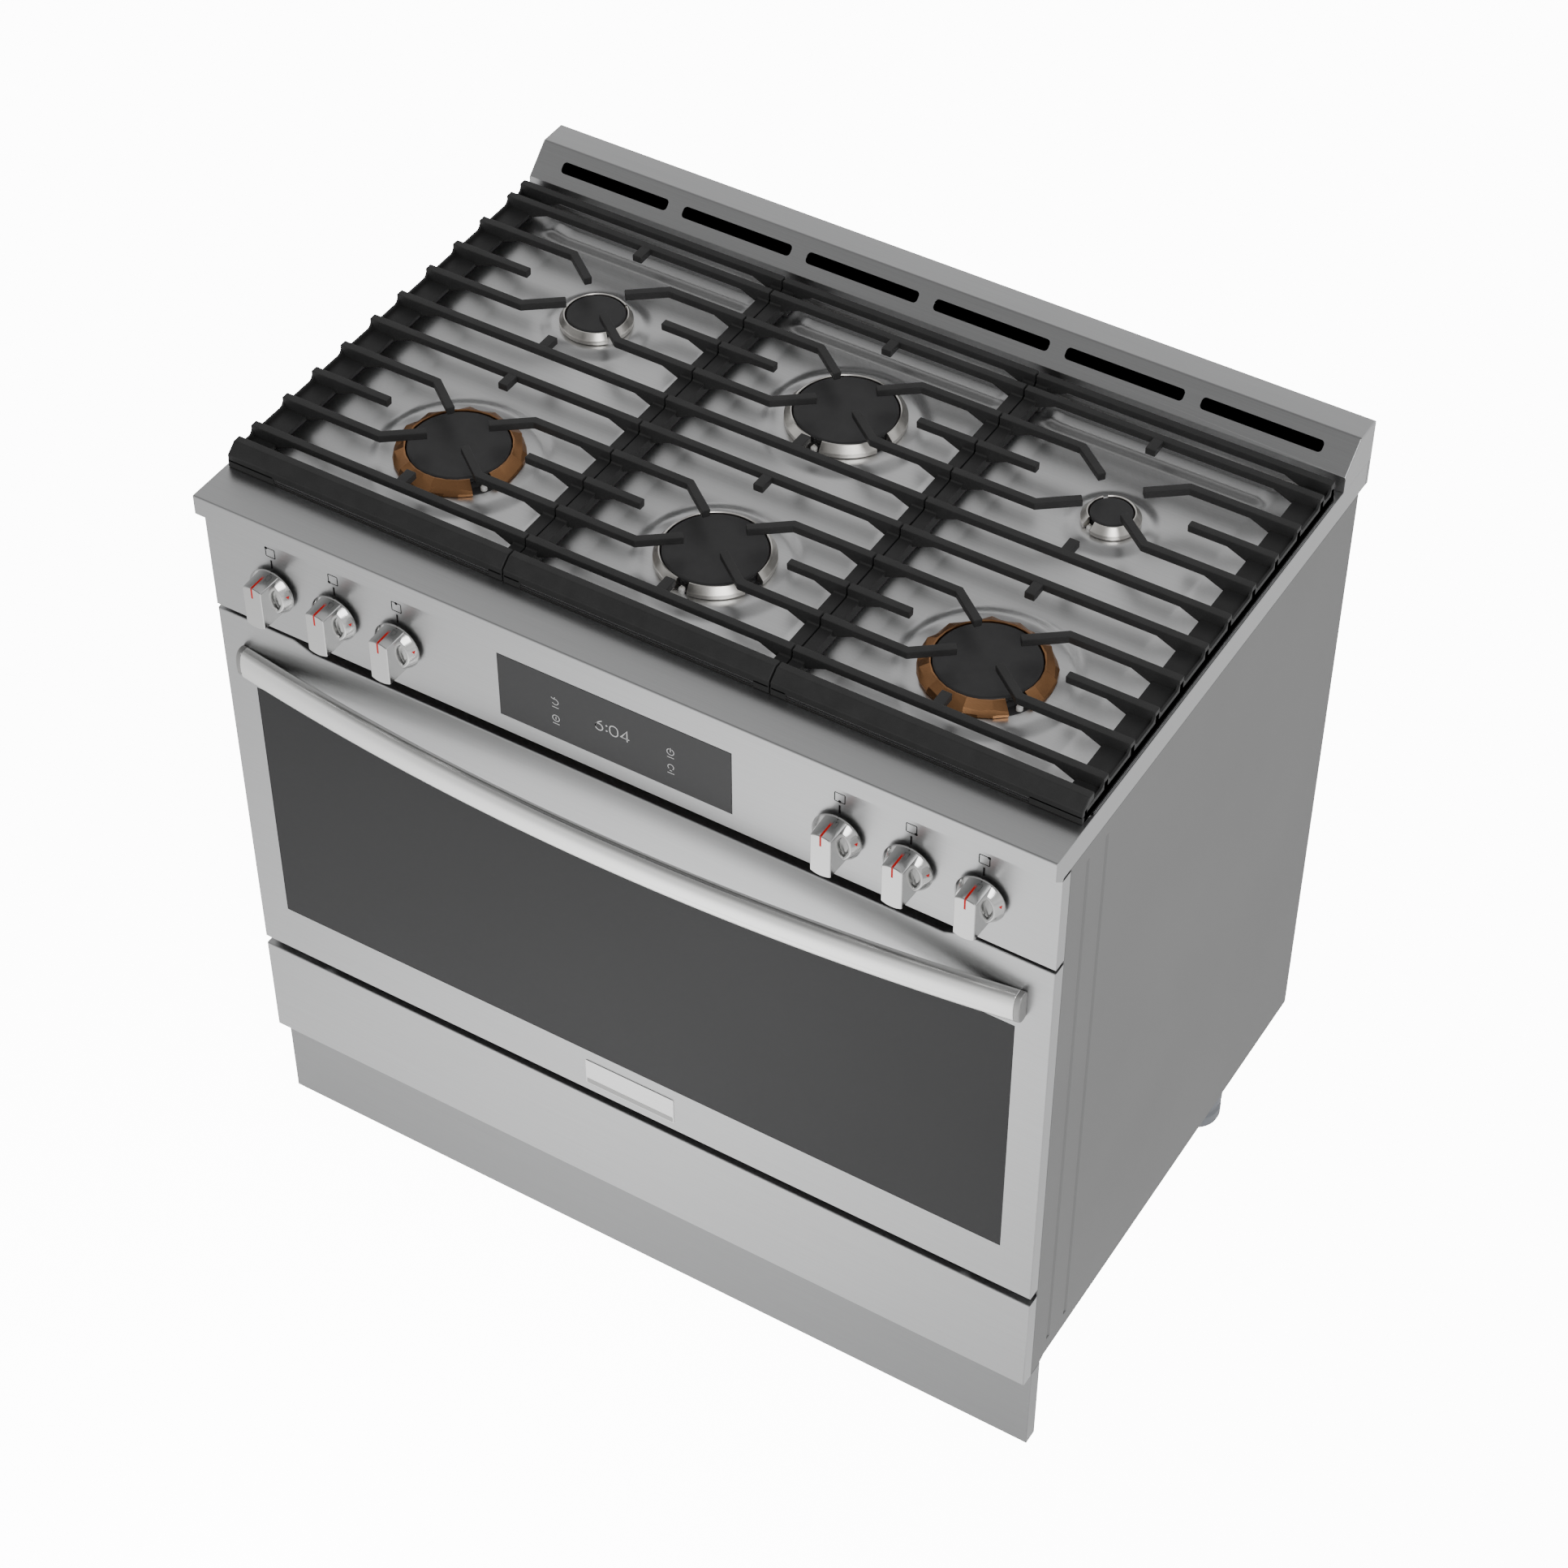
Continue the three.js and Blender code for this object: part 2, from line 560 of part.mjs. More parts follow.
// A wire rack: a round-wire border with wires from front to back and two cross wires.
const WIRE = 3.2;
const RACK_WIRES = 9;
function rack() {
  const half = ovenX - WIRE - 1.2;
  const y0 = ovenY0 + 36;
  const y1 = ovenY1 - 44;
  const wires = [rod("x", WIRE, -half, half, y0, 0, 6), rod("x", WIRE, -half, half, y1, 0, 6)];
  for (const side of [-1, 1]) wires.push(rod("y", WIRE, y0, y1, side * half, 0, 6));
  const gap = (2 * half) / (RACK_WIRES + 1);
  for (let i = 1; i <= RACK_WIRES; i += 1) {
    wires.push(rod("y", 2, y0, y1, -half + i * gap, 1.2, 5));
  }
  return join(wires);
}
const rackShape = rack();
part(oven, "lower_rack", rackShape, wireChrome, 0, 0, guideZ(RACK_IN_USE[0]) + WIRE + FIT);
part(oven, "upper_rack", rackShape, wireChrome, 0, 0, guideZ(RACK_IN_USE[1]) + WIRE + FIT);

// ---------- gas supply: regulator at the rear, pipe and manifold with six valves ----------
const PIPE_RADIUS = 11;
const VALVE_SIZE = 28;
const VALVE_FRONT = 22; // valve front, from the console face
const VALVE_DEPTH = 30;
const PUSH = 3; // knob travel
const STEM_RADIUS = 4;
const PIPE_INSET = 60; // supply pipe, from the side panel
const pipeY = faceY + VALVE_FRONT + VALVE_DEPTH + 4;
const supplyX = halfW - PIPE_INSET;
const regulatorY0 = sideBackY - 70;

const valves = knobPlaces.map((x) =>
  block(
    x - VALVE_SIZE / 2,
    x + VALVE_SIZE / 2,
    faceY + VALVE_FRONT,
    pipeY,
    knobZ - VALVE_SIZE / 2,
    knobZ + VALVE_SIZE / 2,
  ),
);
const stemBores = knobPlaces.map((x) =>
  rod("y", STEM_RADIUS + FIT, faceY + VALVE_FRONT - 1, faceY + VALVE_FRONT + 24, x, knobZ, 10),
);
const mainPipe = rod("x", PIPE_RADIUS, knobPlaces[0] - 20, supplyX, pipeY, knobZ, 16);
const elbow = new THREE.SphereGeometry(PIPE_RADIUS * 1.2, 12, 8).translate(supplyX, pipeY, knobZ);
const returnPipe = rod("y", PIPE_RADIUS, pipeY, regulatorY0 + 30, supplyX, knobZ, 16);
const manifold = cut(join([...valves, mainPipe, solid(elbow), returnPipe]), stemBores);
part(body, "gas_manifold", manifold, brassMetal);

const regulatorZ = knobZ - 60;
const regulator = join([
  rod("z", 26, regulatorZ - 12, regulatorZ + 12, supplyX, regulatorY0 + 30, 24),
  rod("z", 13, regulatorZ - 34, regulatorZ + 34, supplyX, regulatorY0 + 30, 16),
]);
part(body, "pressure_regulator", regulator, brassMetal);

// ---------- valve stems and knobs ----------
const KNOB_RADIUS = 25.2;
const KNOB_OUT = 32.7; // grip front, from the console face
const SKIRT_OUT = 13.7; // skirt front
const KNOB_STANDOFF = PUSH + 0.4;
const GRIP_WIDTH = 21;
const KNOB_BORE = 11;

// The knob turns about its own Y axis; its front is towards -Y.
function knob() {
  const back = -KNOB_STANDOFF;
  const disc = turned(
    [
      [0, -back],
      [KNOB_RADIUS - 2.5, -back],
      [KNOB_RADIUS, -back + 3],
      [KNOB_RADIUS, SKIRT_OUT],
      [KNOB_RADIUS - 3, SKIRT_OUT],
      [KNOB_RADIUS - 5, SKIRT_OUT - 3],
      [0, SKIRT_OUT - 3],
    ],
    22,
  );
  const bar = turned(
    [
      [0, SKIRT_OUT - 6],
      [KNOB_RADIUS, SKIRT_OUT - 6],
      [KNOB_RADIUS - 0.5, KNOB_OUT],
      [0, KNOB_OUT],
    ],
    22,
  );
  const taper = outline([
    [-GRIP_WIDTH / 2 - 1.2, 0],
    [GRIP_WIDTH / 2 + 1.2, 0],
    [GRIP_WIDTH / 2, KNOB_OUT + 1],
    [-GRIP_WIDTH / 2, KNOB_OUT + 1],
  ]);
  // the outline's second coordinate runs outwards along +Z here, the turning axis
  const blade = solid(alongY(taper, -KNOB_RADIUS - 2, KNOB_RADIUS + 2));
  const bore = rod("z", STEM_RADIUS + FIT, 0, KNOB_BORE, 0, 0, 10);
  const upright = cut(join([solid(disc), solid(bar).intersect(blade)]), [bore]);
  return geometryOf(upright).rotateX(Math.PI / 2);
}

const stemFront = -KNOB_BORE + FIT;
const stem = rod("y", STEM_RADIUS, stemFront, VALVE_FRONT + 18, 0, 0, 10);
const knobShape = knob();
knobPlaces.forEach((x, i) => {
  part(body, "valve_stem_" + (i + 1), stem, brassMetal, x, faceY, knobZ);
  part(body, "burner_knob_" + (i + 1), knobShape.clone(), brightMetal, x, faceY, knobZ);
});

// ---------- burners ----------
const CAP_THICK = 4.3;
const CAP_TOP = 1.5; // above the cooktop
const BASE_DROP = 22; // tube below the tray

function burnerBase(capRadius, ringRadius, sides) {
  const top = topZ + CAP_TOP - CAP_THICK - FIT;
  const seat = trayZ + FIT;
  return turned(
    [
      [0, seat + 5],
      [capRadius - 8, seat + 5],
      [capRadius - 5, top],
      [capRadius + 2, top],
      [ringRadius, seat],
      [TUBE_RADIUS, seat],
      [TUBE_RADIUS, trayZ - BASE_DROP],
      [0, trayZ - BASE_DROP],
    ].reverse(),
    sides,
  );
}
function burnerCap(capRadius) {
  const z1 = topZ + CAP_TOP;
  const z0 = z1 - CAP_THICK;
  return turned(
    [
      [0, z0],
      [capRadius - 1.5, z0],
      [capRadius, z1 - 1],
      [capRadius - 1, z1],
      [0, z1],
    ],
    26,
  );
}
const hob = assembly();
for (const [where, x, y, capRadius, ringRadius, metal] of burners) {
  part(hob, "burner_base_" + where, burnerBase(capRadius, ringRadius, 24), metal, x, y);
  part(hob, "burner_cap_" + where, burnerCap(capRadius), blackEnamel, x, y);
}

// ---------- grates: three iron castings side by side ----------
const GRATE_TOP = 24; // bar tops, above the cooktop
const RAIL = 12.5; // side rail width
const RAIL_DROP = 10.6; // rail top, below the bar tops
const BAR = 8.6; // bar width
const BAR_DEPTH = 8.2;
const HAUNCH = 21; // bar deepens towards the rail, over this length at most
const HAUNCH_DROP = 9;
const FOOT = 5.5; // rail's underside, above the tray
const ROW_NEAR = 0.0929 * trayLength; // bent finger rows, from a burner's centre
const ROW_FAR = 0.1903 * trayLength; // full bars
const REAR_GAP = 9.3; // grates' rear end, from the tray's rear wall
const BEND = 56; // where a finger bends, from the burner's centre
const TIP = [21.5, 19.5]; // finger tip
const SHORT_TIP = 78.5; // straight finger tip
const TAB_LENGTH = 16.5;
const TAB_WIDTH = 10.5;
const APRON_FRONT = 50.7; // apron's foot, from the cooktop's lip
const APRON_CHAMFER = 9.4;
const APRON_TOP = 8.6;
const APRON_GROOVE = 5.6;

const barTop = topZ + GRATE_TOP;
const barBottom = barTop - BAR_DEPTH;
const railTop = barTop - RAIL_DROP;
const railBottom = trayZ + FOOT;
const apronY = lipY + APRON_FRONT;

// A bar from rail to rail, with a haunch at each end that has one.
function bar(x0, x1, y, haunchLeft, haunchRight) {
  const low = barBottom - HAUNCH_DROP;
  const room = (x1 - x0 - 2 * RAIL) / (haunchLeft && haunchRight ? 2 : 1);
  const haunch = Math.min(HAUNCH, room);
  const points = [[x0, barTop]];
  if (haunchLeft) {
    points.push([x0, low], [x0 + RAIL, low], [x0 + RAIL + haunch, barBottom]);
  } else points.push([x0, barBottom]);
  if (haunchRight) {
    points.push([x1 - RAIL - haunch, barBottom], [x1 - RAIL, low], [x1, low]);
  } else points.push([x1, barBottom]);
  points.push([x1, barTop]);
  return solid(alongY(outline(points), y - BAR / 2, y + BAR / 2));
}

// A short stub, square to a bar.
function tab(x, yFrom, yTo) {
  return block(
    x - TAB_WIDTH / 2,
    x + TAB_WIDTH / 2,
    Math.min(yFrom, yTo),
    Math.max(yFrom, yTo),
    barBottom + 0.6,
    barTop - 0.4,
  );
}

// The slanted end of a bent finger, from its bend to its tip.
function slantedEnd(centreX, centreY, sideX, sideY) {
  const bend = new THREE.Vector2(centreX + sideX * BEND, centreY + sideY * ROW_NEAR);
  const tip = new THREE.Vector2(centreX + sideX * TIP[0], centreY + sideY * TIP[1]);
  const along = tip.clone().sub(bend).normalize();
  const across = new THREE.Vector2(-along.y, along.x).multiplyScalar(BAR / 2 + 0.6);
  const start = bend.clone().addScaledVector(along, -2);
  const corners = [
    start.clone().add(across),
    start.clone().sub(across),
    tip.clone().sub(across),
    tip.clone().add(across),
  ];
  return solid(alongZ(outline(corners.map((c) => [c.x, c.y])), barBottom, barTop));
}

function grate(x0, x1, centreX) {
  const rearEnd = trayY1 - REAR_GAP;
  const pieces = [];
  for (const [a, b] of [[x0, x0 + RAIL], [x1 - RAIL, x1]]) {
    pieces.push(block(a, b, apronY + 3, rearEnd, topZ + FIT, railTop));
    pieces.push(block(a, b, trayY0 + TRAY_CORNER, rearEnd, railBottom, topZ + 1));
    for (const y of [trayY0 + 26, (BURNER_Y[0] + BURNER_Y[1]) / 2, rearEnd - 12]) {
      pieces.push(block(a, b, y - 9, y + 9, trayZ + FIT, railBottom + 1));
    }
  }
  for (const centreY of BURNER_Y) {
    for (const side of [-1, 1]) {
      const far = centreY + side * ROW_FAR;
      pieces.push(bar(x0, x1, far, true, true));
      pieces.push(tab(centreX, far - side * (BAR / 2 - 1), far - side * (BAR / 2 + TAB_LENGTH)));
      const near = centreY + side * ROW_NEAR;
      pieces.push(bar(x0, centreX - BEND, near, true, false));
      pieces.push(bar(centreX + BEND, x1, near, false, true));
      for (const sideX of [-1, 1]) pieces.push(slantedEnd(centreX, centreY, sideX, side));
    }
    pieces.push(bar(x0, centreX - SHORT_TIP, centreY, true, false));
    pieces.push(bar(centreX + SHORT_TIP, x1, centreY, false, true));
  }
  pieces.push(bar(x0, x1, rearEnd - BAR / 2, true, true));
  const foot = topZ + FIT;
  const apron = outline([
    [apronY, foot],
    [apronY + 8.5, foot],
    [apronY + 8.5, barBottom - 2],
    [apronY + 11.3 + APRON_TOP, barBottom],
    [apronY + 11.3 + APRON_TOP, barTop],
    [apronY + 11.3, barTop],
    [apronY, barTop - APRON_CHAMFER],
  ]);
  pieces.push(solid(alongX(apron, x0, x1)));
  const grooveInset = 17;
  const groove = block(
    x0 + grooveInset,
    x1 - grooveInset,
    apronY - 1,
    apronY + 3,
    foot + 5,
    foot + 5 + APRON_GROOVE,
  );
  return cut(join(pieces), [groove]);
}

part(hob, "grate_left", grate(-grateEdge, -grateSeam - FIT, -burnerX), castIron);
part(hob, "grate_centre", grate(-grateSeam + FIT, grateSeam - FIT, 0), castIron);
part(hob, "grate_right", grate(grateSeam + FIT, grateEdge, burnerX), castIron);

// ---------- oven door, hinged along its lower edge ----------
const WINDOW_MARGIN = 36.1; // door side to the glass
const WINDOW_BELOW = 60.9;
const WINDOW_ABOVE = 88.4;
const NOTCH_INSET = 100.5; // finger notch along the door's top edge, from its sides
const NOTCH_DEPTH = 8.4;
const NOTCH_EASE = 22;
const PLUG_SIDE = 8.5; // door side to its inner part
const PLUG_BELOW = 5.5;
const PLUG_ABOVE = 14;
const INNER_WINDOW_SIDE = 190;
const INNER_WINDOW_BELOW = 105;
const INNER_WINDOW_ABOVE = 130;
const PANE = 4; // inner glass
const HINGE_Y_BACK = 8.6; // hinge axis, from the door face
const HINGE_UP = 1.5; // hinge axis, above the door's lower edge
const HINGE_X = 76; // hinge, from the range's side
const HINGE_WIDTH = 12;
const PIN_RADIUS = 2.6;
const hingeY = faceY + HINGE_Y_BACK;
const hingeZ = doorZ0 + HINGE_UP;

const door = assembly();
const notchHalf = halfW - NOTCH_INSET;
const notch = outline([
  [-notchHalf - NOTCH_EASE / 2, doorZ1 + 1],
  [-notchHalf - NOTCH_EASE / 2, doorZ1],
  [-notchHalf, doorZ1 - NOTCH_DEPTH * 0.45],
  [-notchHalf + NOTCH_EASE / 2, doorZ1 - NOTCH_DEPTH],
  [notchHalf - NOTCH_EASE / 2, doorZ1 - NOTCH_DEPTH],
  [notchHalf, doorZ1 - NOTCH_DEPTH * 0.45],
  [notchHalf + NOTCH_EASE / 2, doorZ1],
  [notchHalf + NOTCH_EASE / 2, doorZ1 + 1],
]);
const notchTool = solid(alongY(notch, faceY - 1, frontEdgeY + 1));
const windowX = halfW - WINDOW_MARGIN;
const windowZ0 = doorZ0 + WINDOW_BELOW;
const windowZ1 = doorZ1 - WINDOW_ABOVE;
const skinBox = wide(halfW, faceY, frontEdgeY, doorZ0, doorZ1);
const skinHollow = wide(halfW - SHEET, faceY + 4, frontEdgeY + 1, doorZ0 + SHEET, doorZ1 - NOTCH_DEPTH - SHEET);
const windowCut = wide(windowX + FIT, faceY - 1, faceY + 5, windowZ0 - FIT, windowZ1 + FIT);
const hingeSlots = [-1, 1].map((side) => {
  const x = side * (halfW - HINGE_X);
  const half = HINGE_WIDTH / 2 + 2;
  return block(x - half, x + half, faceY + 3, frontEdgeY + 1, doorZ0 - 1, doorZ0 + 26);
});
part(door, "door_outer_panel", cut(skinBox, [notchTool, skinHollow, windowCut, ...hingeSlots]), stainless);
part(door, "door_window_glass", wide(windowX, faceY + 0.05, faceY + 3.6, windowZ0, windowZ1), darkGlass);

const plugX = halfW - PLUG_SIDE;
const plugY0 = frontEdgeY + FIT;
const plugY1 = frontEdgeY + DOOR_PLUG;
const plugZ0 = doorZ0 + PLUG_BELOW;
const plugZ1 = doorZ1 - PLUG_ABOVE;
const plug = wide(plugX, plugY0, plugY1, plugZ0, plugZ1);
const plugHollow = wide(plugX - SHEET, plugY0 - 1, plugY1 - SHEET, plugZ0 + SHEET, plugZ1 - SHEET);
const innerX = halfW - INNER_WINDOW_SIDE;
const innerZ0 = doorZ0 + INNER_WINDOW_BELOW;
const innerZ1 = doorZ1 - INNER_WINDOW_ABOVE;
const innerWindow = wide(innerX, plugY0 - 1, plugY1 + 1, innerZ0, innerZ1);
const plugSlots = [-1, 1].map((side) => {
  const x = side * (halfW - HINGE_X);
  const half = HINGE_WIDTH / 2 + 2;
  return block(x - half, x + half, plugY0 - 1, plugY1 + 1, plugZ0 - 1, doorZ0 + 52);
});
part(door, "door_inner_panel", cut(plug, [plugHollow, innerWindow, ...plugSlots]), ovenEnamel);
const paneY1 = plugY1 - SHEET - FIT;
const innerPane = wide(innerX + 14, paneY1 - PANE, paneY1, innerZ0 - 14, innerZ1 + 14);
part(door, "door_inner_glass", innerPane, clearGlass);

// Hinge brackets reach from the front frame to the pins; they stay with the body.
for (const [where, side] of [["left", -1], ["right", 1]]) {
  const x = side * (halfW - HINGE_X);
  const arm = outline([
    [hingeY - 4, hingeZ + 3],
    [hingeY, hingeZ - 3.5],
    [frameFaceY - FIT, hingeZ - 3.5],
    [frameFaceY - FIT, hingeZ + 9],
    [hingeY + 8, hingeZ + 5],
    [hingeY, hingeZ + 4],
  ]);
  const plate = solid(alongX(arm, x - HINGE_WIDTH / 2 + 3, x + HINGE_WIDTH / 2 - 3));
  const pin = rod("x", PIN_RADIUS, x - HINGE_WIDTH / 2, x + HINGE_WIDTH / 2, hingeY, hingeZ, 12);
  part(body, "door_hinge_" + where, join([plate, pin]), galvanised);
}

const HANDLE_INSET = 25.5; // handle end, from the door's side
const HANDLE_Z = 52.9; // handle centre, below the door's upper edge
const HANDLE_HEIGHT = 35;
const HANDLE_THICK = 19;
const HANDLE_BOW = 34;
const HANDLE_ROUND = 8.5;
const handleZ = doorZ1 - HANDLE_Z;
const handleHalf = halfW - HANDLE_INSET;

// The handle bows forward: an arc of the given rise, its ends flattened against the door face.
function handle() {
  const thick = HANDLE_THICK / 2;
  const tall = HANDLE_HEIGHT / 2;
  const section = roundedRect(-thick, thick, -tall, tall, HANDLE_ROUND);
  const bowed = alongX(section, -handleHalf, handleHalf, 16);
  const radius = (handleHalf ** 2 + HANDLE_BOW ** 2) / (2 * HANDLE_BOW);
  const middleY = -DEPTH / 2 + thick;
  const position = bowed.attributes.position;
  for (let i = 0; i < position.count; i += 1) {
    const x = position.getX(i);
    const back = radius - Math.sqrt(radius ** 2 - x ** 2);
    const y = Math.min(position.getY(i) + middleY + back, faceY - FIT);
    position.setXYZ(i, x, y, position.getZ(i) + handleZ);
  }
  return solid(bowed);
}
part(door, "oven_door_handle", handle(), brightMetal);

// A braided gasket round the oven's opening, in front of the frame.
const gasketY1 = frameFaceY - FIT;
const gasketY0 = plugY1 + FIT;
const gasketOuter = wide(ovenX + 22, gasketY0, gasketY1, ovenZ0 - 18, ovenZ1 + 18);
const gasketInner = wide(ovenX + 12, gasketY0 - 1, gasketY1 + 1, ovenZ0 - 8, ovenZ1 + 8);
part(body, "door_gasket", cut(gasketOuter, [gasketInner]), gasketBraid);

// ---------- drawer under the oven ----------
const DRAWER_SIDE = 40; // range side to the drawer pan
const DRAWER_BACK_SPACE = 100; // pan's rear wall to the rear panel
const PAN_HIGH = 22; // pan's upper edge, below the front's
const drawer = assembly();
const frontBox = wide(halfW, faceY, frontEdgeY, drawerZ0, drawerZ1);
const frontHollow = wide(halfW - SHEET, faceY + SHEET, frontEdgeY + 1, drawerZ0 + SHEET, drawerZ1 - SHEET);
part(drawer, "drawer_front", cut(frontBox, [frontHollow]), stainless);
const panX = halfW - DRAWER_SIDE;
const panY0 = frontEdgeY + FIT;
const panY1 = sideBackY - DRAWER_BACK_SPACE;
const panOuter = wide(panX, panY0, panY1, panZ0, drawerZ1 - PAN_HIGH);
const panInner = wide(panX - SHEET, panY0 + SHEET, panY1 - SHEET, panZ0 + SHEET, drawerZ1);
part(drawer, "drawer_pan", cut(panOuter, [panInner]), galvanised);

export default range;
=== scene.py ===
# Freestanding gas range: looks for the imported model.
# Shapes are worked out in millimetres, as in the CAD source, and made in metres.
import json
import math

import bmesh
import bpy
from mathutils import Matrix, Vector


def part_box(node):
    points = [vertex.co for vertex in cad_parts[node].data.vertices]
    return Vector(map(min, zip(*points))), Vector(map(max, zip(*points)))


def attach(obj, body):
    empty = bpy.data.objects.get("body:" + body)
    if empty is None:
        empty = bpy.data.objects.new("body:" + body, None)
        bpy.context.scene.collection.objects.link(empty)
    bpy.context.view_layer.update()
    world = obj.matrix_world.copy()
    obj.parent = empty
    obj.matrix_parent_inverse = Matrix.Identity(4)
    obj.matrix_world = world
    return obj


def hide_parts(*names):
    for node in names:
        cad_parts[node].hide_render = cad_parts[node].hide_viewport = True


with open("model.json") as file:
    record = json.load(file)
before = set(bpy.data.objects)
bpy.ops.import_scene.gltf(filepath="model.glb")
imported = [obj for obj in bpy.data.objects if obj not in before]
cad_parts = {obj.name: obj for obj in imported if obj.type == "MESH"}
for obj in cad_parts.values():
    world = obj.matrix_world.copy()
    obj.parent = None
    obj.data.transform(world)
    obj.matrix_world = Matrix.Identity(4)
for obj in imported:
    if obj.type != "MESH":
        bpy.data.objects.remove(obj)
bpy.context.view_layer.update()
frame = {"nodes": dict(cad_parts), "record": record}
NODES = frame["nodes"]
SCENE = bpy.context.scene
MM = 0.001

# ---------- camera ----------
CAMERA_PLACE = (1.3669, -2.2290, 3.0963)
CAMERA_TURN = (44.99, -0.016, 31.346)  # degrees about X, Y, Z
camera_data = bpy.data.cameras.new("camera")
camera_data.sensor_width = 36.0
camera_data.lens = 84.51
camera_data.clip_end = 50.0
camera = bpy.data.objects.new("camera", camera_data)
SCENE.collection.objects.link(camera)
camera.location = CAMERA_PLACE
camera.rotation_euler = [math.radians(a) for a in CAMERA_TURN]
SCENE.camera = camera


# ---------- materials ----------
class Mat:
    """A node material built step by step around one Principled shader."""

    def __init__(self, name, metallic=0.0, rough=0.5, color=(0.5, 0.5, 0.5), **extra):
        self.mat = bpy.data.materials.new(name)
        self.mat.use_nodes = True
        self.tree = self.mat.node_tree
        self.tree.nodes.clear()
        self.out = self.node("ShaderNodeOutputMaterial")
        self.bsdf = self.node("ShaderNodeBsdfPrincipled")
        self.link(self.bsdf.outputs[0], self.out.inputs["Surface"])
        self.set("Metallic", metallic)
        self.set("Roughness", rough)
        self.set("Base Color", (*color, 1.0))
        for key, value in extra.items():
            self.set(key.replace("_", " "), value)
        self.coords = self.node("ShaderNodeTexCoord").outputs["Object"]

    def node(self, kind, **settings):
        made = self.tree.nodes.new(kind)
        for key, value in settings.items():
            setattr(made, key, value)
        return made

    def link(self, a, b):
        self.tree.links.new(a, b)

    def set(self, socket, value):
        self.bsdf.inputs[socket].default_value = value

    def scaled(self, scale):
        mapping = self.node("ShaderNodeMapping")
        mapping.inputs["Scale"].default_value = scale
        self.link(self.coords, mapping.inputs["Vector"])
        return mapping.outputs["Vector"]

    def noise(self, scale, detail=3.0, stretch=(1, 1, 1)):
        tex = self.node("ShaderNodeTexNoise")
        self.link(self.scaled(stretch), tex.inputs["Vector"])
        tex.inputs["Scale"].default_value = scale
        tex.inputs["Detail"].default_value = detail
        tex.inputs["Roughness"].default_value = 0.55
        return tex.outputs["Fac"]

    def ramp(self, fac, low, high):
        ramp = self.node("ShaderNodeValToRGB")
        ramp.color_ramp.elements[0].position = 0.3
        ramp.color_ramp.elements[1].position = 0.7
        ramp.color_ramp.elements[0].color = low
        ramp.color_ramp.elements[1].color = high
        self.link(fac, ramp.inputs["Fac"])
        return ramp.outputs["Color"]

    def ranged(self, fac, low, high):
        span = self.node("ShaderNodeMapRange")
        span.inputs["To Min"].default_value = low
        span.inputs["To Max"].default_value = high
        self.link(fac, span.inputs["Value"])
        return span.outputs["Result"]

    def tint(self, fac, color, spread):
        low = tuple(c * (1 - spread) for c in color) + (1,)
        high = tuple(min(1.0, c * (1 + spread)) for c in color) + (1,)
        self.link(self.ramp(fac, low, high), self.bsdf.inputs["Base Color"])

    def bump(self, fac, strength, distance):
        bump = self.node("ShaderNodeBump")
        bump.inputs["Strength"].default_value = strength
        bump.inputs["Distance"].default_value = distance
        self.link(fac, bump.inputs["Height"])
        self.link(bump.outputs["Normal"], self.bsdf.inputs["Normal"])


def brushed(name, color, rough=0.33, along=(2.5, 520, 520), spread=0.045, bump=0.1):
    m = Mat(name, metallic=1.0, rough=rough, color=color)
    grain = m.noise(3.0, 4.0, along)
    cloud = m.noise(2.2, 2.0)
    m.tint(grain, color, spread)
    m.link(m.ranged(cloud, rough - 0.04, rough + 0.05), m.bsdf.inputs["Roughness"])
    m.bump(grain, bump, 0.0002)
    return m.mat


def painted(name, color, rough=0.5, grain=900.0, bump=0.1, metallic=0.0, spread=0.03, **extra):
    m = Mat(name, metallic=metallic, rough=rough, color=color, **extra)
    m.tint(m.noise(5.0, 2.0), color, spread)
    m.bump(m.noise(grain, 2.0), bump, 0.0003)
    return m.mat


def cast(name, color, rough=0.6, bump=0.3, shine=0.25):
    m = Mat(name, metallic=0.0, rough=rough, color=color)
    m.set("Specular IOR Level", shine)
    m.tint(m.noise(60.0, 3.0), color, 0.1)
    m.bump(m.noise(800.0, 3.0), bump, 0.0005)
    return m.mat


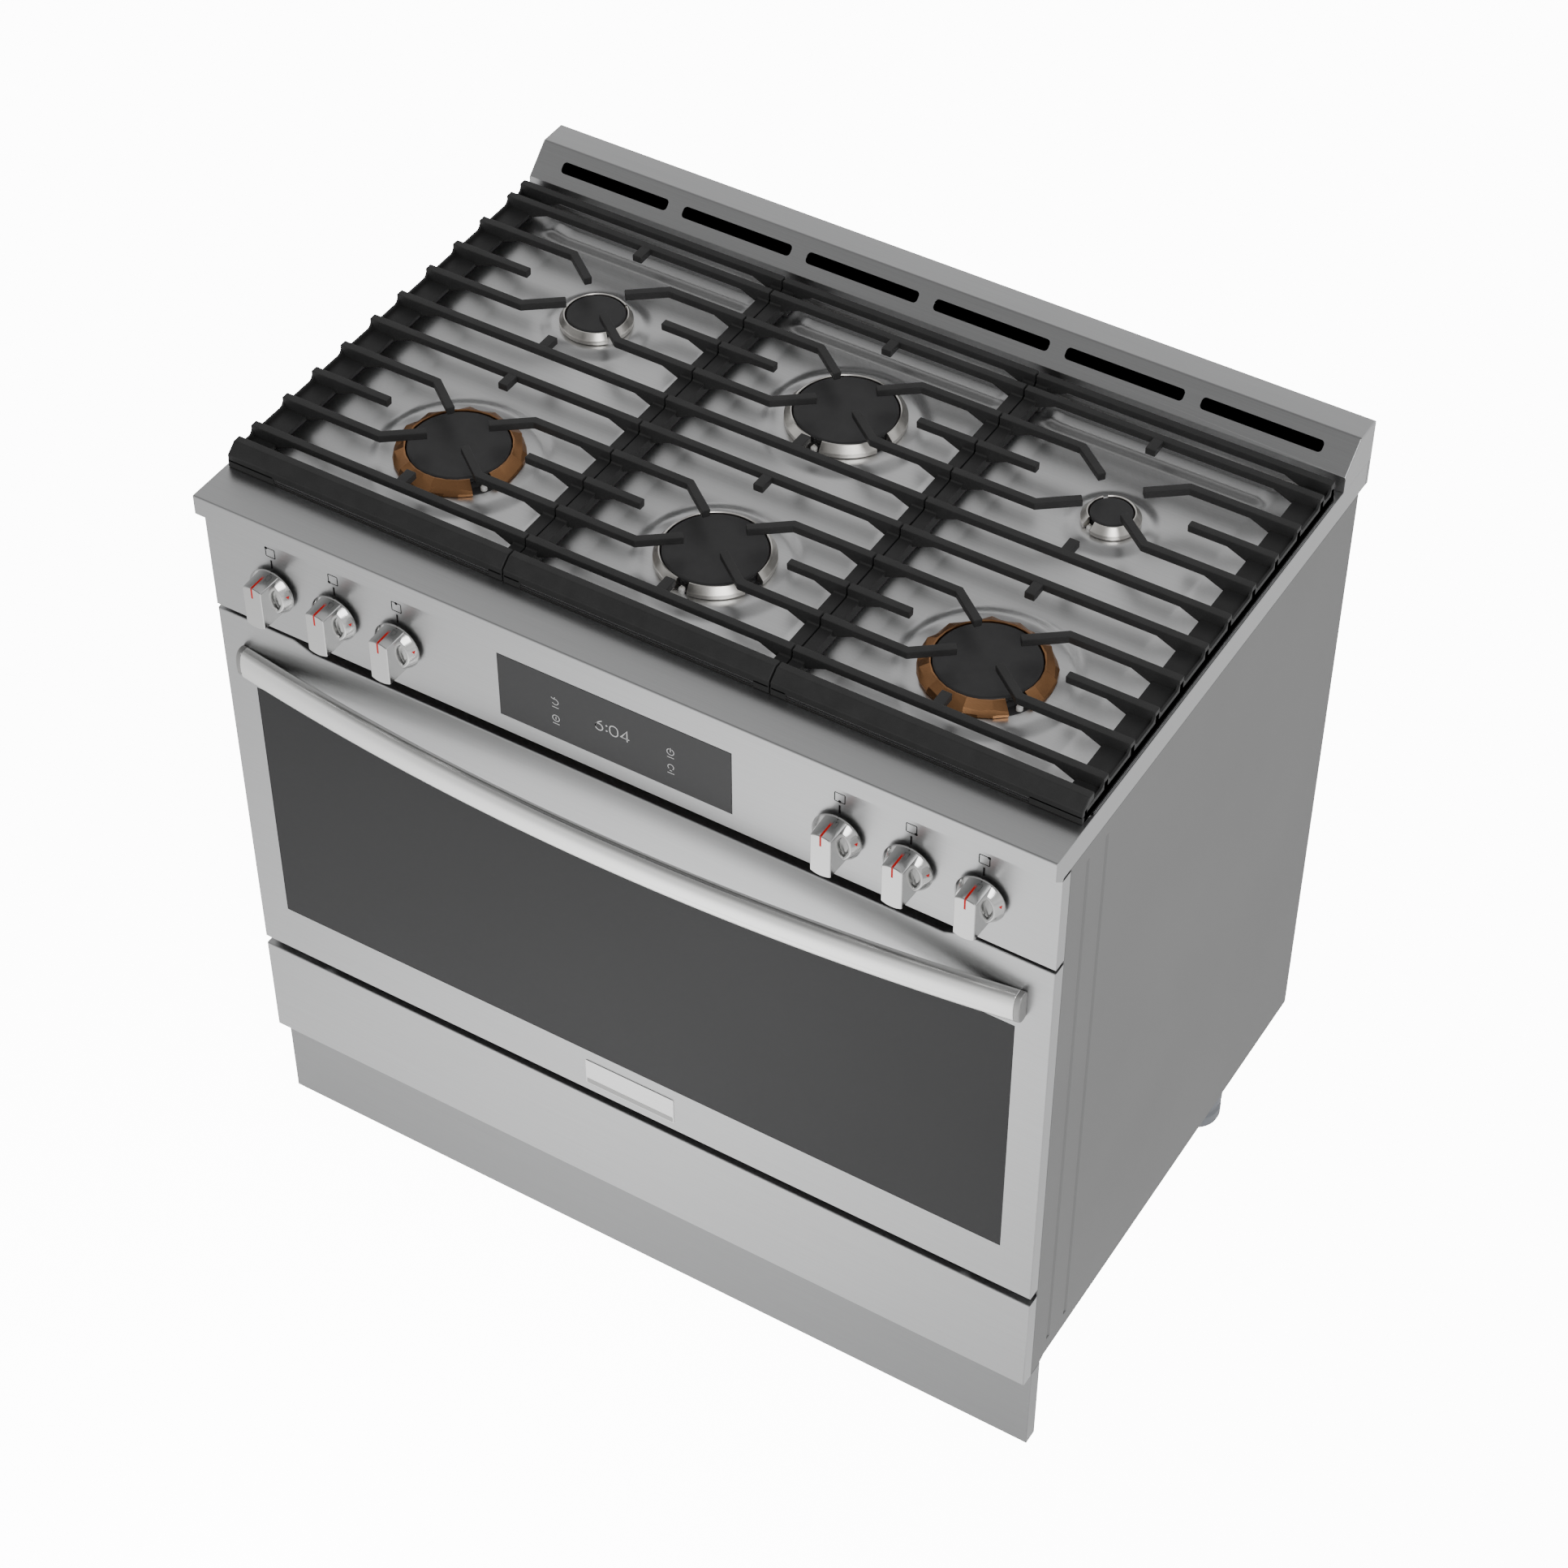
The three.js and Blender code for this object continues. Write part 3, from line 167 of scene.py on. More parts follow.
FINE_BRUSH = (2.5, 420, 420)  # the grain's stretch on the knobs and the handle
MATS = {
    "stainless": brushed("stainless", (0.49, 0.493, 0.496)),
    "tray_steel": brushed("tray_steel", (0.7, 0.702, 0.705), rough=0.32),
    # the toe kick's steel, darkened to paint in the shade that falls under the drawer
    "toe_steel_painted_shade": brushed("toe_steel_painted_shade", (0.31, 0.312, 0.315), rough=0.38),
    "bright_metal": brushed(
        "bright_metal", (0.6, 0.6, 0.595), rough=0.16, along=FINE_BRUSH, spread=0.02, bump=0.05
    ),
    "handle_metal": brushed(
        "handle_metal", (1.0, 1.0, 0.985), rough=0.24, along=FINE_BRUSH, spread=0.0, bump=0.03
    ),
    "side_paint": painted(
        "side_paint", (0.19, 0.19, 0.19), rough=0.5, grain=1400.0, bump=0.06, Specular_IOR_Level=0.35
    ),
    "galvanised": painted(
        "galvanised", (0.45, 0.46, 0.47), rough=0.45, metallic=0.9, spread=0.12, grain=60.0
    ),
    "foot_plastic": painted("foot_plastic", (0.2, 0.21, 0.23), rough=0.5),
    "display_glass": painted(
        "display_glass", (0.042, 0.042, 0.043), rough=0.35, grain=300.0, bump=0.01, Specular_IOR_Level=0.22
    ),
    "window_glass": painted(
        "window_glass", (0.034, 0.034, 0.035), rough=0.3, grain=200.0, bump=0.01, Specular_IOR_Level=0.12
    ),
    "inner_glass": painted(
        "inner_glass", (0.5, 0.52, 0.52), rough=0.08, grain=100.0, bump=0.01, Alpha=0.35
    ),
    "oven_enamel": painted(
        "oven_enamel", (0.02, 0.023, 0.03), rough=0.28, grain=1500.0, bump=0.05, spread=0.25
    ),
    "rack_wire": painted("rack_wire", (0.62, 0.62, 0.62), rough=0.22, metallic=1.0, bump=0.03),
    "brass": painted("brass", (0.5, 0.36, 0.14), rough=0.35, metallic=1.0, spread=0.12),
    "gasket_braid": painted("gasket_braid", (0.15, 0.14, 0.13), rough=0.9, grain=300.0, bump=0.5),
    "cap_enamel": cast("cap_enamel", (0.032, 0.032, 0.033), rough=0.45, bump=0.08, shine=0.35),
    "copper_ring": brushed("copper_ring", (0.37, 0.19, 0.09), rough=0.38, spread=0.07),
    "steel_ring": brushed("steel_ring", (0.72, 0.7, 0.66), rough=0.3),
    "cast_iron": cast("cast_iron", (0.033, 0.033, 0.033), rough=0.5, bump=0.12, shine=0.25),
    "red_mark": painted("red_mark", (0.62, 0.012, 0.012), rough=0.5, Specular_IOR_Level=0.2),
    "dark_print": painted("dark_print", (0.004, 0.004, 0.004), rough=0.6, Specular_IOR_Level=0.1),
    "pale_print": painted("pale_print", (0.62, 0.62, 0.62), rough=0.5),
    # a black that stands in for shade inside a hollow: painted shade
    "painted_shade_black": painted("painted_shade_black", (0.0005, 0.0005, 0.0005), rough=0.9, Specular_IOR_Level=0.0),
    "ceramic": painted("ceramic", (0.75, 0.74, 0.72), rough=0.3),
    "plate": brushed("plate", (0.78, 0.78, 0.78), rough=0.25),
    "cap_end": painted("cap_end", (0.36, 0.36, 0.355), rough=0.4, metallic=0.7),
}

record = frame["record"]
SLOT_OF = {entry["node"]: entry["material_slot"] for entry in record["subparts"]}
for entry in record["subparts"]:
    node = NODES[entry["node"]]
    node.data.materials.clear()
    node.data.materials.append(MATS[entry["material_slot"]])


# ---------- mesh tools ----------
SHARP = math.radians(25)  # a bevel takes the edges that turn by more than this
PLACED = {  # from an outline's two numbers and the height along the axis to x, y, z
    "x": lambda u, v, w: (w, u, v),
    "y": lambda u, v, w: (u, w, v),
    "z": lambda u, v, w: (u, v, w),
}


def gather(parts):
    """Joins several meshes in the making into one."""
    whole = bmesh.new()
    for bm in parts:
        mesh = bpy.data.meshes.new("part")
        bm.to_mesh(mesh)
        bm.free()
        whole.from_mesh(mesh)
        bpy.data.meshes.remove(mesh)
    return whole


def piece(name, bm, look, body="range_body", stands_for=(), slot=None, angle=32, weighted=True):
    """Makes an object, in metres, that rides on a CAD body."""
    if isinstance(bm, list):
        bm = gather(bm)
    bmesh.ops.recalc_face_normals(bm, faces=bm.faces)
    mesh = bpy.data.meshes.new(name)
    bm.to_mesh(mesh)
    bm.free()
    mesh.transform(Matrix.Scale(MM, 4))
    mesh.polygons.foreach_set("use_smooth", [True] * len(mesh.polygons))
    mesh.set_sharp_from_angle(angle=math.radians(angle))
    mesh.materials.append(MATS[look])
    obj = bpy.data.objects.new(name, mesh)
    SCENE.collection.objects.link(obj)
    if weighted:
        obj.modifiers.new("normals", "WEIGHTED_NORMAL").keep_sharp = True
    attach(obj, body)
    if stands_for:
        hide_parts(*stands_for)
        slot = slot or SLOT_OF[stands_for[0]]
    return obj


def bevel_edges(bm, width, segments, test=None):
    """Rounds the sharp edges whose middles pass the test."""
    edges = [
        e
        for e in bm.edges
        if len(e.link_faces) == 2
        and e.calc_face_angle(0) > SHARP
        and (test is None or test((e.verts[0].co + e.verts[1].co) / 2))
    ]
    bmesh.ops.bevel(
        bm,
        geom=edges,
        offset=width,
        offset_type="OFFSET",
        segments=segments,
        profile=0.5,
        affect="EDGES",
        clamp_overlap=True,
    )


def copied(node):
    """A CAD node's shape in millimetres, with its flat faces whole."""
    bm = bmesh.new()
    bm.from_mesh(NODES[node].data)
    bm.transform(Matrix.Scale(1 / MM, 4))
    bmesh.ops.remove_doubles(bm, verts=bm.verts, dist=0.002)
    bmesh.ops.dissolve_limit(bm, angle_limit=math.radians(0.8), verts=bm.verts, edges=bm.edges)
    return bm


def prism(points, axis, a, b, bevel=0.0, segments=2):
    """A closed prism: an outline in the two other axes, from a to b along the axis."""
    place = PLACED[axis]
    bm = bmesh.new()
    ends = [[bm.verts.new(place(u, v, w)) for u, v in points] for w in (a, b)]
    n = len(points)
    for end in ends:
        bm.faces.new(end)
    for i in range(n):
        j = (i + 1) % n
        bm.faces.new((ends[0][i], ends[0][j], ends[1][j], ends[1][i]))
    bmesh.ops.recalc_face_normals(bm, faces=bm.faces)
    if bevel:
        bevel_edges(bm, bevel, segments)
    return bm


def block(x0, x1, y0, y1, z0, z1, bevel=0.0):
    return prism([(x0, y0), (x1, y0), (x1, y1), (x0, y1)], "z", z0, z1, bevel)


def turned(profile, centre=(0, 0, 0), segments=72, arc=(0, 360), axis="z", wobble=None):
    """A closed outline of (radius, height) turned about an axis.

    An arc short of a whole turn gets closed ends. wobble may shift each point.
    """
    bm = bmesh.new()
    whole = abs(arc[1] - arc[0]) >= 360
    count = segments if whole else segments + 1
    on_axis = [r < 1e-6 for r, _ in profile]
    rows = []
    for i in range(count):
        angle = math.radians(arc[0] + (arc[1] - arc[0]) * i / segments)
        row = []
        for k, (r, h) in enumerate(profile):
            if on_axis[k] and rows:
                row.append(rows[0][k])
                continue
            if wobble:
                r, h = wobble(i, k, r, h)
            x, y = r * math.cos(angle), r * math.sin(angle)
            spot = {"z": (x, y, h), "y": (x, -h, y)}[axis]
            row.append(bm.verts.new([a + b for a, b in zip(spot, centre)]))
        rows.append(row)
    n = len(profile)
    for i in range(segments):
        near, far = rows[i], rows[(i + 1) % count]
        for k in range(n):
            m = (k + 1) % n
            corners = []
            for v in (near[k], near[m], far[m], far[k]):
                if v not in corners:
                    corners.append(v)
            if len(corners) > 2:
                bm.faces.new(corners)
    if not whole:
        for row in (rows[0], rows[-1]):
            bm.faces.new(row)
    return bm


def tube(path, radius, sides=10, closed=False):
    """A round wire along a path."""
    bm = bmesh.new()
    points = [Vector(p) for p in path]
    n = len(points)
    rings = []
    normal = None
    for i, p in enumerate(points):
        before = points[i - 1] if i or closed else None
        after = points[(i + 1) % n] if i < n - 1 or closed else None
        along = ((after or p) - (before or p)).normalized()
        if normal is None:
            normal = along.orthogonal().normalized()
        normal = (normal - along * normal.dot(along)).normalized()
        other = along.cross(normal)
        ring = []
        for k in range(sides):
            t = 2 * math.pi * k / sides
            ring.append(bm.verts.new(p + normal * (radius * math.cos(t)) + other * (radius * math.sin(t))))
        rings.append(ring)
    for i in range(n if closed else n - 1):
        a, b = rings[i], rings[(i + 1) % n]
        shift = 0
        if closed and i == n - 1:
            shift = min(range(sides), key=lambda s: (a[0].co - b[s].co).length)
        for k in range(sides):
            m = (k + 1) % sides
            bm.faces.new((a[k], a[m], b[(m + shift) % sides], b[(k + shift) % sides]))
    if not closed:
        bm.faces.new(rings[0])
        bm.faces.new(rings[-1])
    return bm


def ribbon(points, width, y0, y1, closed=False):
    """A flat stroke on a front face: points are (x, z), and it is as thick as y0 to y1."""
    bm = bmesh.new()
    n = len(points)
    rows = []
    for i, (x, z) in enumerate(points):
        a = points[i - 1] if i or closed else points[i]
        b = points[(i + 1) % n] if i < n - 1 or closed else points[i]
        along = Vector((b[0] - a[0], b[1] - a[1])).normalized()
        reach = width / 2
        if (i or closed) and (i < n - 1 or closed):
            step = Vector((x - a[0], z - a[1])).normalized()
            reach = width / 2 / max(0.5, along.dot(step))
        side = Vector((-along.y, along.x)) * reach
        one, two = (x + side.x, z + side.y), (x - side.x, z - side.y)
        spots = [(one, y0), (two, y0), (two, y1), (one, y1)]
        rows.append([bm.verts.new((u, y, v)) for (u, v), y in spots])
    for i in range(n if closed else n - 1):
        a, b = rows[i], rows[(i + 1) % n]
        for k in range(4):
            m = (k + 1) % 4
            bm.faces.new((a[k], a[m], b[m], b[k]))
    if not closed:
        bm.faces.new(rows[0])
        bm.faces.new(rows[-1])
    return bm


def ring_points(x, z, r, a0=0, a1=360, n=24):
    """Points on a circle or, between two angles, on an arc."""
    full = abs(a1 - a0) >= 360
    steps = n if full else n + 1
    angles = [math.radians(a0 + (a1 - a0) * i / n) for i in range(steps)]
    return [(x + r * math.cos(t), z + r * math.sin(t)) for t in angles]


def rounded(x0, x1, y0, y1, r, n=5):
    """The corners of a rounded rectangle, in order."""
    points = []
    corners = ((x1 - r, y0 + r, -90), (x1 - r, y1 - r, 0), (x0 + r, y1 - r, 90), (x0 + r, y0 + r, 180))
    for cx, cy, a in corners:
        points += ring_points(cx, cy, r, a, a + 90, n)
    return points


def box_mm(node):
    """The two corners of a CAD node's box, in millimetres."""
    low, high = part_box(node)
    return [v / MM for v in low], [v / MM for v in high]


# ---------- places, from the CAD boxes ----------
(_, LIP_Y, _), (HALF, _, TOP_Z) = box_mm("cooktop")
(_, FACE_Y, CONSOLE_Z0), (_, _, CONSOLE_Z1) = box_mm("control_console")
(_, TOE_Y, _), _ = box_mm("toe_kick_panel")
_, (_, BACK_Y, GUARD_TOP) = box_mm("backguard")
(_, _, REAR_Z0), (_, REAR_Y, REAR_Z1) = box_mm("rear_panel")
FIT = 0.35  # the room that the CAD leaves between parts that rest on each other
TRAY_Z = box_mm("grate_left")[0][2] - FIT
TRAY_X = HALF - 2.7
TRAY_Y0 = LIP_Y + 55.3
TRAY_Y1 = BACK_Y - 64.8
TRAY_LENGTH = TRAY_Y1 - TRAY_Y0
BAR_TOP = box_mm("grate_left")[1][2]


def middle(node):
    low, high = box_mm(node)
    return [(a + b) / 2 for a, b in zip(low, high)]


# ---------- plain panels: CAD shapes with worked edges ----------
def panel(node, look, passes, body="range_body", change=None):
    bm = copied(node)
    if change:
        change(bm)
    for width, segments, test in passes:
        bevel_edges(bm, width, segments, test)
    return piece(node + "_detail", bm, look, body, [node])


# Edges are chosen by where their middles are.
DISPLAY_HALF = 130
WINDOW_HALF, WINDOW_Z0, WINDOW_Z1 = 421, 316, 635


def at_face(p):
    return p.y < FACE_Y + 0.5


def console_edge(p):
    """The console's outer edges, without those of the display's opening."""
    return at_face(p) and (abs(p.x) > DISPLAY_HALF or p.z > CONSOLE_Z1 - 1 or p.z < CONSOLE_Z0 + 1)


def door_edge(p):
    """The door's outer edges, without those of the window."""
    return at_face(p) and not (abs(p.x) < WINDOW_HALF and WINDOW_Z0 < p.z < WINDOW_Z1)


panel("right_side_panel", "side_paint", [(0.5, 2, lambda p: p.x > HALF - 0.3)])
panel("left_side_panel", "side_paint", [(0.5, 2, lambda p: p.x < -HALF + 0.3)])
panel("rear_panel", "galvanised", [(0.4, 1, None)])
# the toe kick gets the darkened steel: painted shade under the drawer
panel("toe_kick_panel", "toe_steel_painted_shade", [(1.0, 3, lambda p: p.y < TOE_Y + 0.5)])
panel("drawer_front", "stainless", [(1.3, 3, at_face)], "drawer")
panel("drawer_pan", "galvanised", [(0.4, 1, None)], "drawer")
panel("control_console", "stainless", [(1.0, 3, console_edge)])
panel("display_glass", "display_glass", [(0.5, 2, at_face)])
panel("door_outer_panel", "stainless", [(1.2, 3, door_edge)], "oven_door")
panel("door_window_glass", "window_glass", [(0.35, 2, at_face)], "oven_door")
panel("door_inner_panel", "oven_enamel", [(0.5, 2, None)], "oven_door")
panel("oven_cavity", "oven_enamel", [(0.4, 1, None)])
panel("base_frame", "galvanised", [(0.4, 1, None)])


def round_lip(bm):
    """The cooktop's front edge, made square so that it can be rounded."""
    for v in bm.verts:
        if v.co.y < LIP_Y + 1.5 and v.co.z > TOP_Z - 1.5:
            v.co.y, v.co.z = LIP_Y, TOP_Z
    bmesh.ops.remove_doubles(bm, verts=bm.verts, dist=0.01)


def lip_edge(p):
    return p.y < LIP_Y + 0.5 and p.z > TOP_Z - 0.5


def lip_sides(p):
    return abs(p.x) > HALF - 0.3


def tray_rim(p):
    return p.z > TOP_Z - 0.3 and TRAY_Y0 - 1 < p.y < TRAY_Y1 + 1 and abs(p.x) < TRAY_X + 0.5


def guard_rim(p):
    return p.z > TOP_Z + 15 and (p.z > GUARD_TOP - 0.4 or abs(p.x) > HALF - 0.3)


def guard_slots(p):
    return p.z > TOP_Z + 18 and abs(p.x) < HALF - 3


cooktop_bevels = [(1.7, 4, lip_edge), (0.8, 3, lip_sides), (1.2, 3, tray_rim)]
panel("cooktop", "stainless", cooktop_bevels, change=round_lip)
panel("backguard", "stainless", [(1.4, 3, guard_rim), (0.35, 2, guard_slots)])

# A black sheet behind the backguard's slots: painted shade for its dark inside.
GUARD_FOOT_Y = BACK_Y - 60  # the sloped front face, from its foot to its top
GUARD_HEAD_Y = BACK_Y - 31.3
liner = [
    (GUARD_FOOT_Y + 5, TOP_Z + 10),
    (GUARD_HEAD_Y - 0.5, TOP_Z + 37),
    (GUARD_HEAD_Y + 2, TOP_Z + 36),
    (GUARD_FOOT_Y + 7.5, TOP_Z + 8),
]
piece("backguard_painted_shade_liner", prism(liner, "x", -HALF + 3, HALF - 3), "painted_shade_black", slot="stainless")

# Screws round the rear panel's edge.
screw = [(0, -2.2), (1.2, -2.1), (3.2, -1.2), (4.0, 0), (0, 0)]
screw_spots = []
for i in range(6):
    z = REAR_Z0 + 14 + i * (REAR_Z1 - REAR_Z0 - 28) / 5
    screw_spots += [(-HALF + 14, z), (HALF - 14, z)]
for x in (-300, -150, 0, 150, 300):
    screw_spots += [(x, REAR_Z0 + 10), (x, REAR_Z1 - 10)]
screws = [turned(screw, (x, REAR_Y, z), 16, axis="y") for x, z in screw_spots]
piece("rear_screws", screws, "galvanised")

# Pressed stiffening ribs on the rear panel.
ribs = []
for x in (-240, 0, 240):
    outline = rounded(x - 9, x + 9, REAR_Z0 + 40, REAR_Z1 - 130, 8.9, 6)
    ribs.append(prism(outline, "y", REAR_Y - 0.5, REAR_Y + 3.2, 2.4, 3))
piece("rear_panel_ribs", ribs, "galvanised")

# Levelling legs: a round pad, a neck and a plain post.
for where in ("front_left", "front_right", "rear_left", "rear_right"):
    node = "levelling_leg_" + where
    low, high = box_mm(node)
    cx, cy, _ = middle(node)
    r = (high[0] - low[0]) / 2
    body_top = high[2] - 12
    leg = [(0, 0), (r - 6, 0), (r - 3, 0.6), (r - 1, 2.6), (r, 6), (r, 18)]
    leg += [(r - 2.5, 21), (r - 2.5, 27), (r, 30), (r, body_top - 2)]
    leg += [(r - 2, body_top), (6, body_top), (6, high[2]), (0, high[2])]
    piece(node + "_detail", turned(leg, (cx, cy, 0), 48), "foot_plastic", stands_for=[node])

# ---------- spill tray: pressed floor with dishes, side slopes and rear ridges ----------
BURNERS = {}
for where in ("front_left", "front_centre", "front_right", "rear_left", "rear_centre", "rear_right"):
    cx, cy, _ = middle("burner_cap_" + where)
    low, high = box_mm("burner_cap_" + where)
    ring_low, ring_high = box_mm("burner_base_" + where)
    BURNERS[where] = (cx, cy, (high[0] - low[0]) / 2, (ring_high[0] - ring_low[0]) / 2)

TRAY_CORNER = 14.0
WALL_FILLET, WALL_RISE = 9.0, 7.0  # the floor's curve up into the wall
PRESSED = 4.2  # the height of the dishes and of the rear ridges
FLANK_X, FLANK_SLOPE = 388, 0.16  # the flanks along the sides
SEAM_REACH, SEAM_SLOPE = 34, 0.19  # the flanks under the seams between grates
FLANK_MOST = 8.0
RIDGES = [(-418, -155), (-125, 125), (154, 399)]
RIDGE_Y0, RIDGE_Y1 = 221, 254
SEAM = box_mm("grate_centre")[1][0]


def smooth(t):
    t = min(1.0, max(0.0, t))
    return t * t * (3 - 2 * t)


def wall_distance(x, y):
    """Distance inward from the tray's wall, and the point moved inside if it lies past it."""
    hx, hy = TRAY_X - 0.35, TRAY_LENGTH / 2 - 0.35
    mx, my = 0.0, (TRAY_Y0 + TRAY_Y1) / 2
    qx, qy = abs(x - mx) - (hx - TRAY_CORNER), abs(y - my) - (hy - TRAY_CORNER)
    if qx > 0 and qy > 0:
        reach = math.hypot(qx, qy)
        if reach > TRAY_CORNER:
            k = TRAY_CORNER / reach
            x = mx + math.copysign(hx - TRAY_CORNER + qx * k, x - mx)
            y = my + math.copysign(hy - TRAY_CORNER + qy * k, y - my)
            reach = TRAY_CORNER
        return TRAY_CORNER - reach, x, y
    return TRAY_CORNER - max(qx, qy), x, y


def tray_height(x, y, d):
    """The pressed floor's height over the flat one, d away from the wall."""
    h = 0.25
    if d < WALL_FILLET:
        h += WALL_RISE * (1 - math.sqrt(max(0.0, 1 - ((WALL_FILLET - d) / WALL_FILLET) ** 2)))
    flank = max((abs(x) - FLANK_X) * FLANK_SLOPE, (SEAM_REACH - abs(abs(x) - SEAM)) * SEAM_SLOPE)
    h += min(FLANK_MOST, max(0.0, flank)) * smooth((y - TRAY_Y0 - 4) / 12)
    for x0, x1 in RIDGES:
        across = smooth((x - x0) / 16) * smooth((x1 - x) / 16)
        h += PRESSED * across * smooth((y - RIDGE_Y0) / 11) * smooth((RIDGE_Y1 - y) / 9)
    for cx, cy, cap, ring in BURNERS.values():
        outer = ring + (20 if cap > 40 else 14)
        h += PRESSED * smooth((outer + 6 - math.hypot(x - cx, y - cy)) / 16)
    return h


def graded(a, b, coarse, fine, edge):
    """Stations from a to b, close together near both ends."""
    out = [a]
    while out[-1] < b:
        at = out[-1]
        step = fine if min(at - a, b - at) < edge else coarse
        out.append(min(b, at + step))
    return out


GRID = (2.4, 1.3, 20)
grid_x = graded(-TRAY_X, TRAY_X, *GRID)
grid_y = graded(TRAY_Y0, TRAY_Y1, *GRID)
tray_verts, tray_faces = [], []
for y in grid_y:
    for x in grid_x:
        d, px, py = wall_distance(x, y)
        tray_verts.append((px, py, TRAY_Z + tray_height(px, py, d)))
nx, ny = len(grid_x), len(grid_y)
for j in range(ny - 1):
    for i in range(nx - 1):
        a = j * nx + i
        tray_faces.append((a, a + 1, a + nx + 1, a + nx))
# A closed sheet: the grid's border again below, filled by one face.
border = list(range(nx)) + [j * nx + nx - 1 for j in range(1, ny)]
border += [(ny - 1) * nx + i for i in range(nx - 2, -1, -1)] + [j * nx for j in range(ny - 2, 0, -1)]
first = len(tray_verts)
tray_verts += [(tray_verts[k][0], tray_verts[k][1], TRAY_Z - 0.6) for k in border]
n = len(border)
for i in range(n):
    j = (i + 1) % n
    tray_faces.append((border[i], border[j], first + j, first + i))
tray_faces.append([first + i for i in range(n)])
tray_mesh = bpy.data.meshes.new("tray")
tray_mesh.from_pydata(tray_verts, [], tray_faces)
tray_bm = bmesh.new()
tray_bm.from_mesh(tray_mesh)
bpy.data.meshes.remove(tray_mesh)
bmesh.ops.remove_doubles(tray_bm, verts=tray_bm.verts, dist=0.02)
piece("spill_tray_floor", tray_bm, "tray_steel", slot="stainless", angle=50, weighted=False)

# ---------- burners ----------
CAP_TOP = box_mm("burner_cap_front_left")[1][2]
CAP_THICK = 4.3
RING_TOP = CAP_TOP - CAP_THICK - FIT
RING_LOW = TRAY_Z + 5.0
# each igniter's angle and distance from the middle of its burner
IGNITER = {
    "front_left": (-32, 58),
    "front_centre": (-92, 54),
    "front_right": (-32, 58),
    "rear_left": (-35, 34),
    "rear_centre": (-92, 56),
    "rear_right": (-117, 24),
}
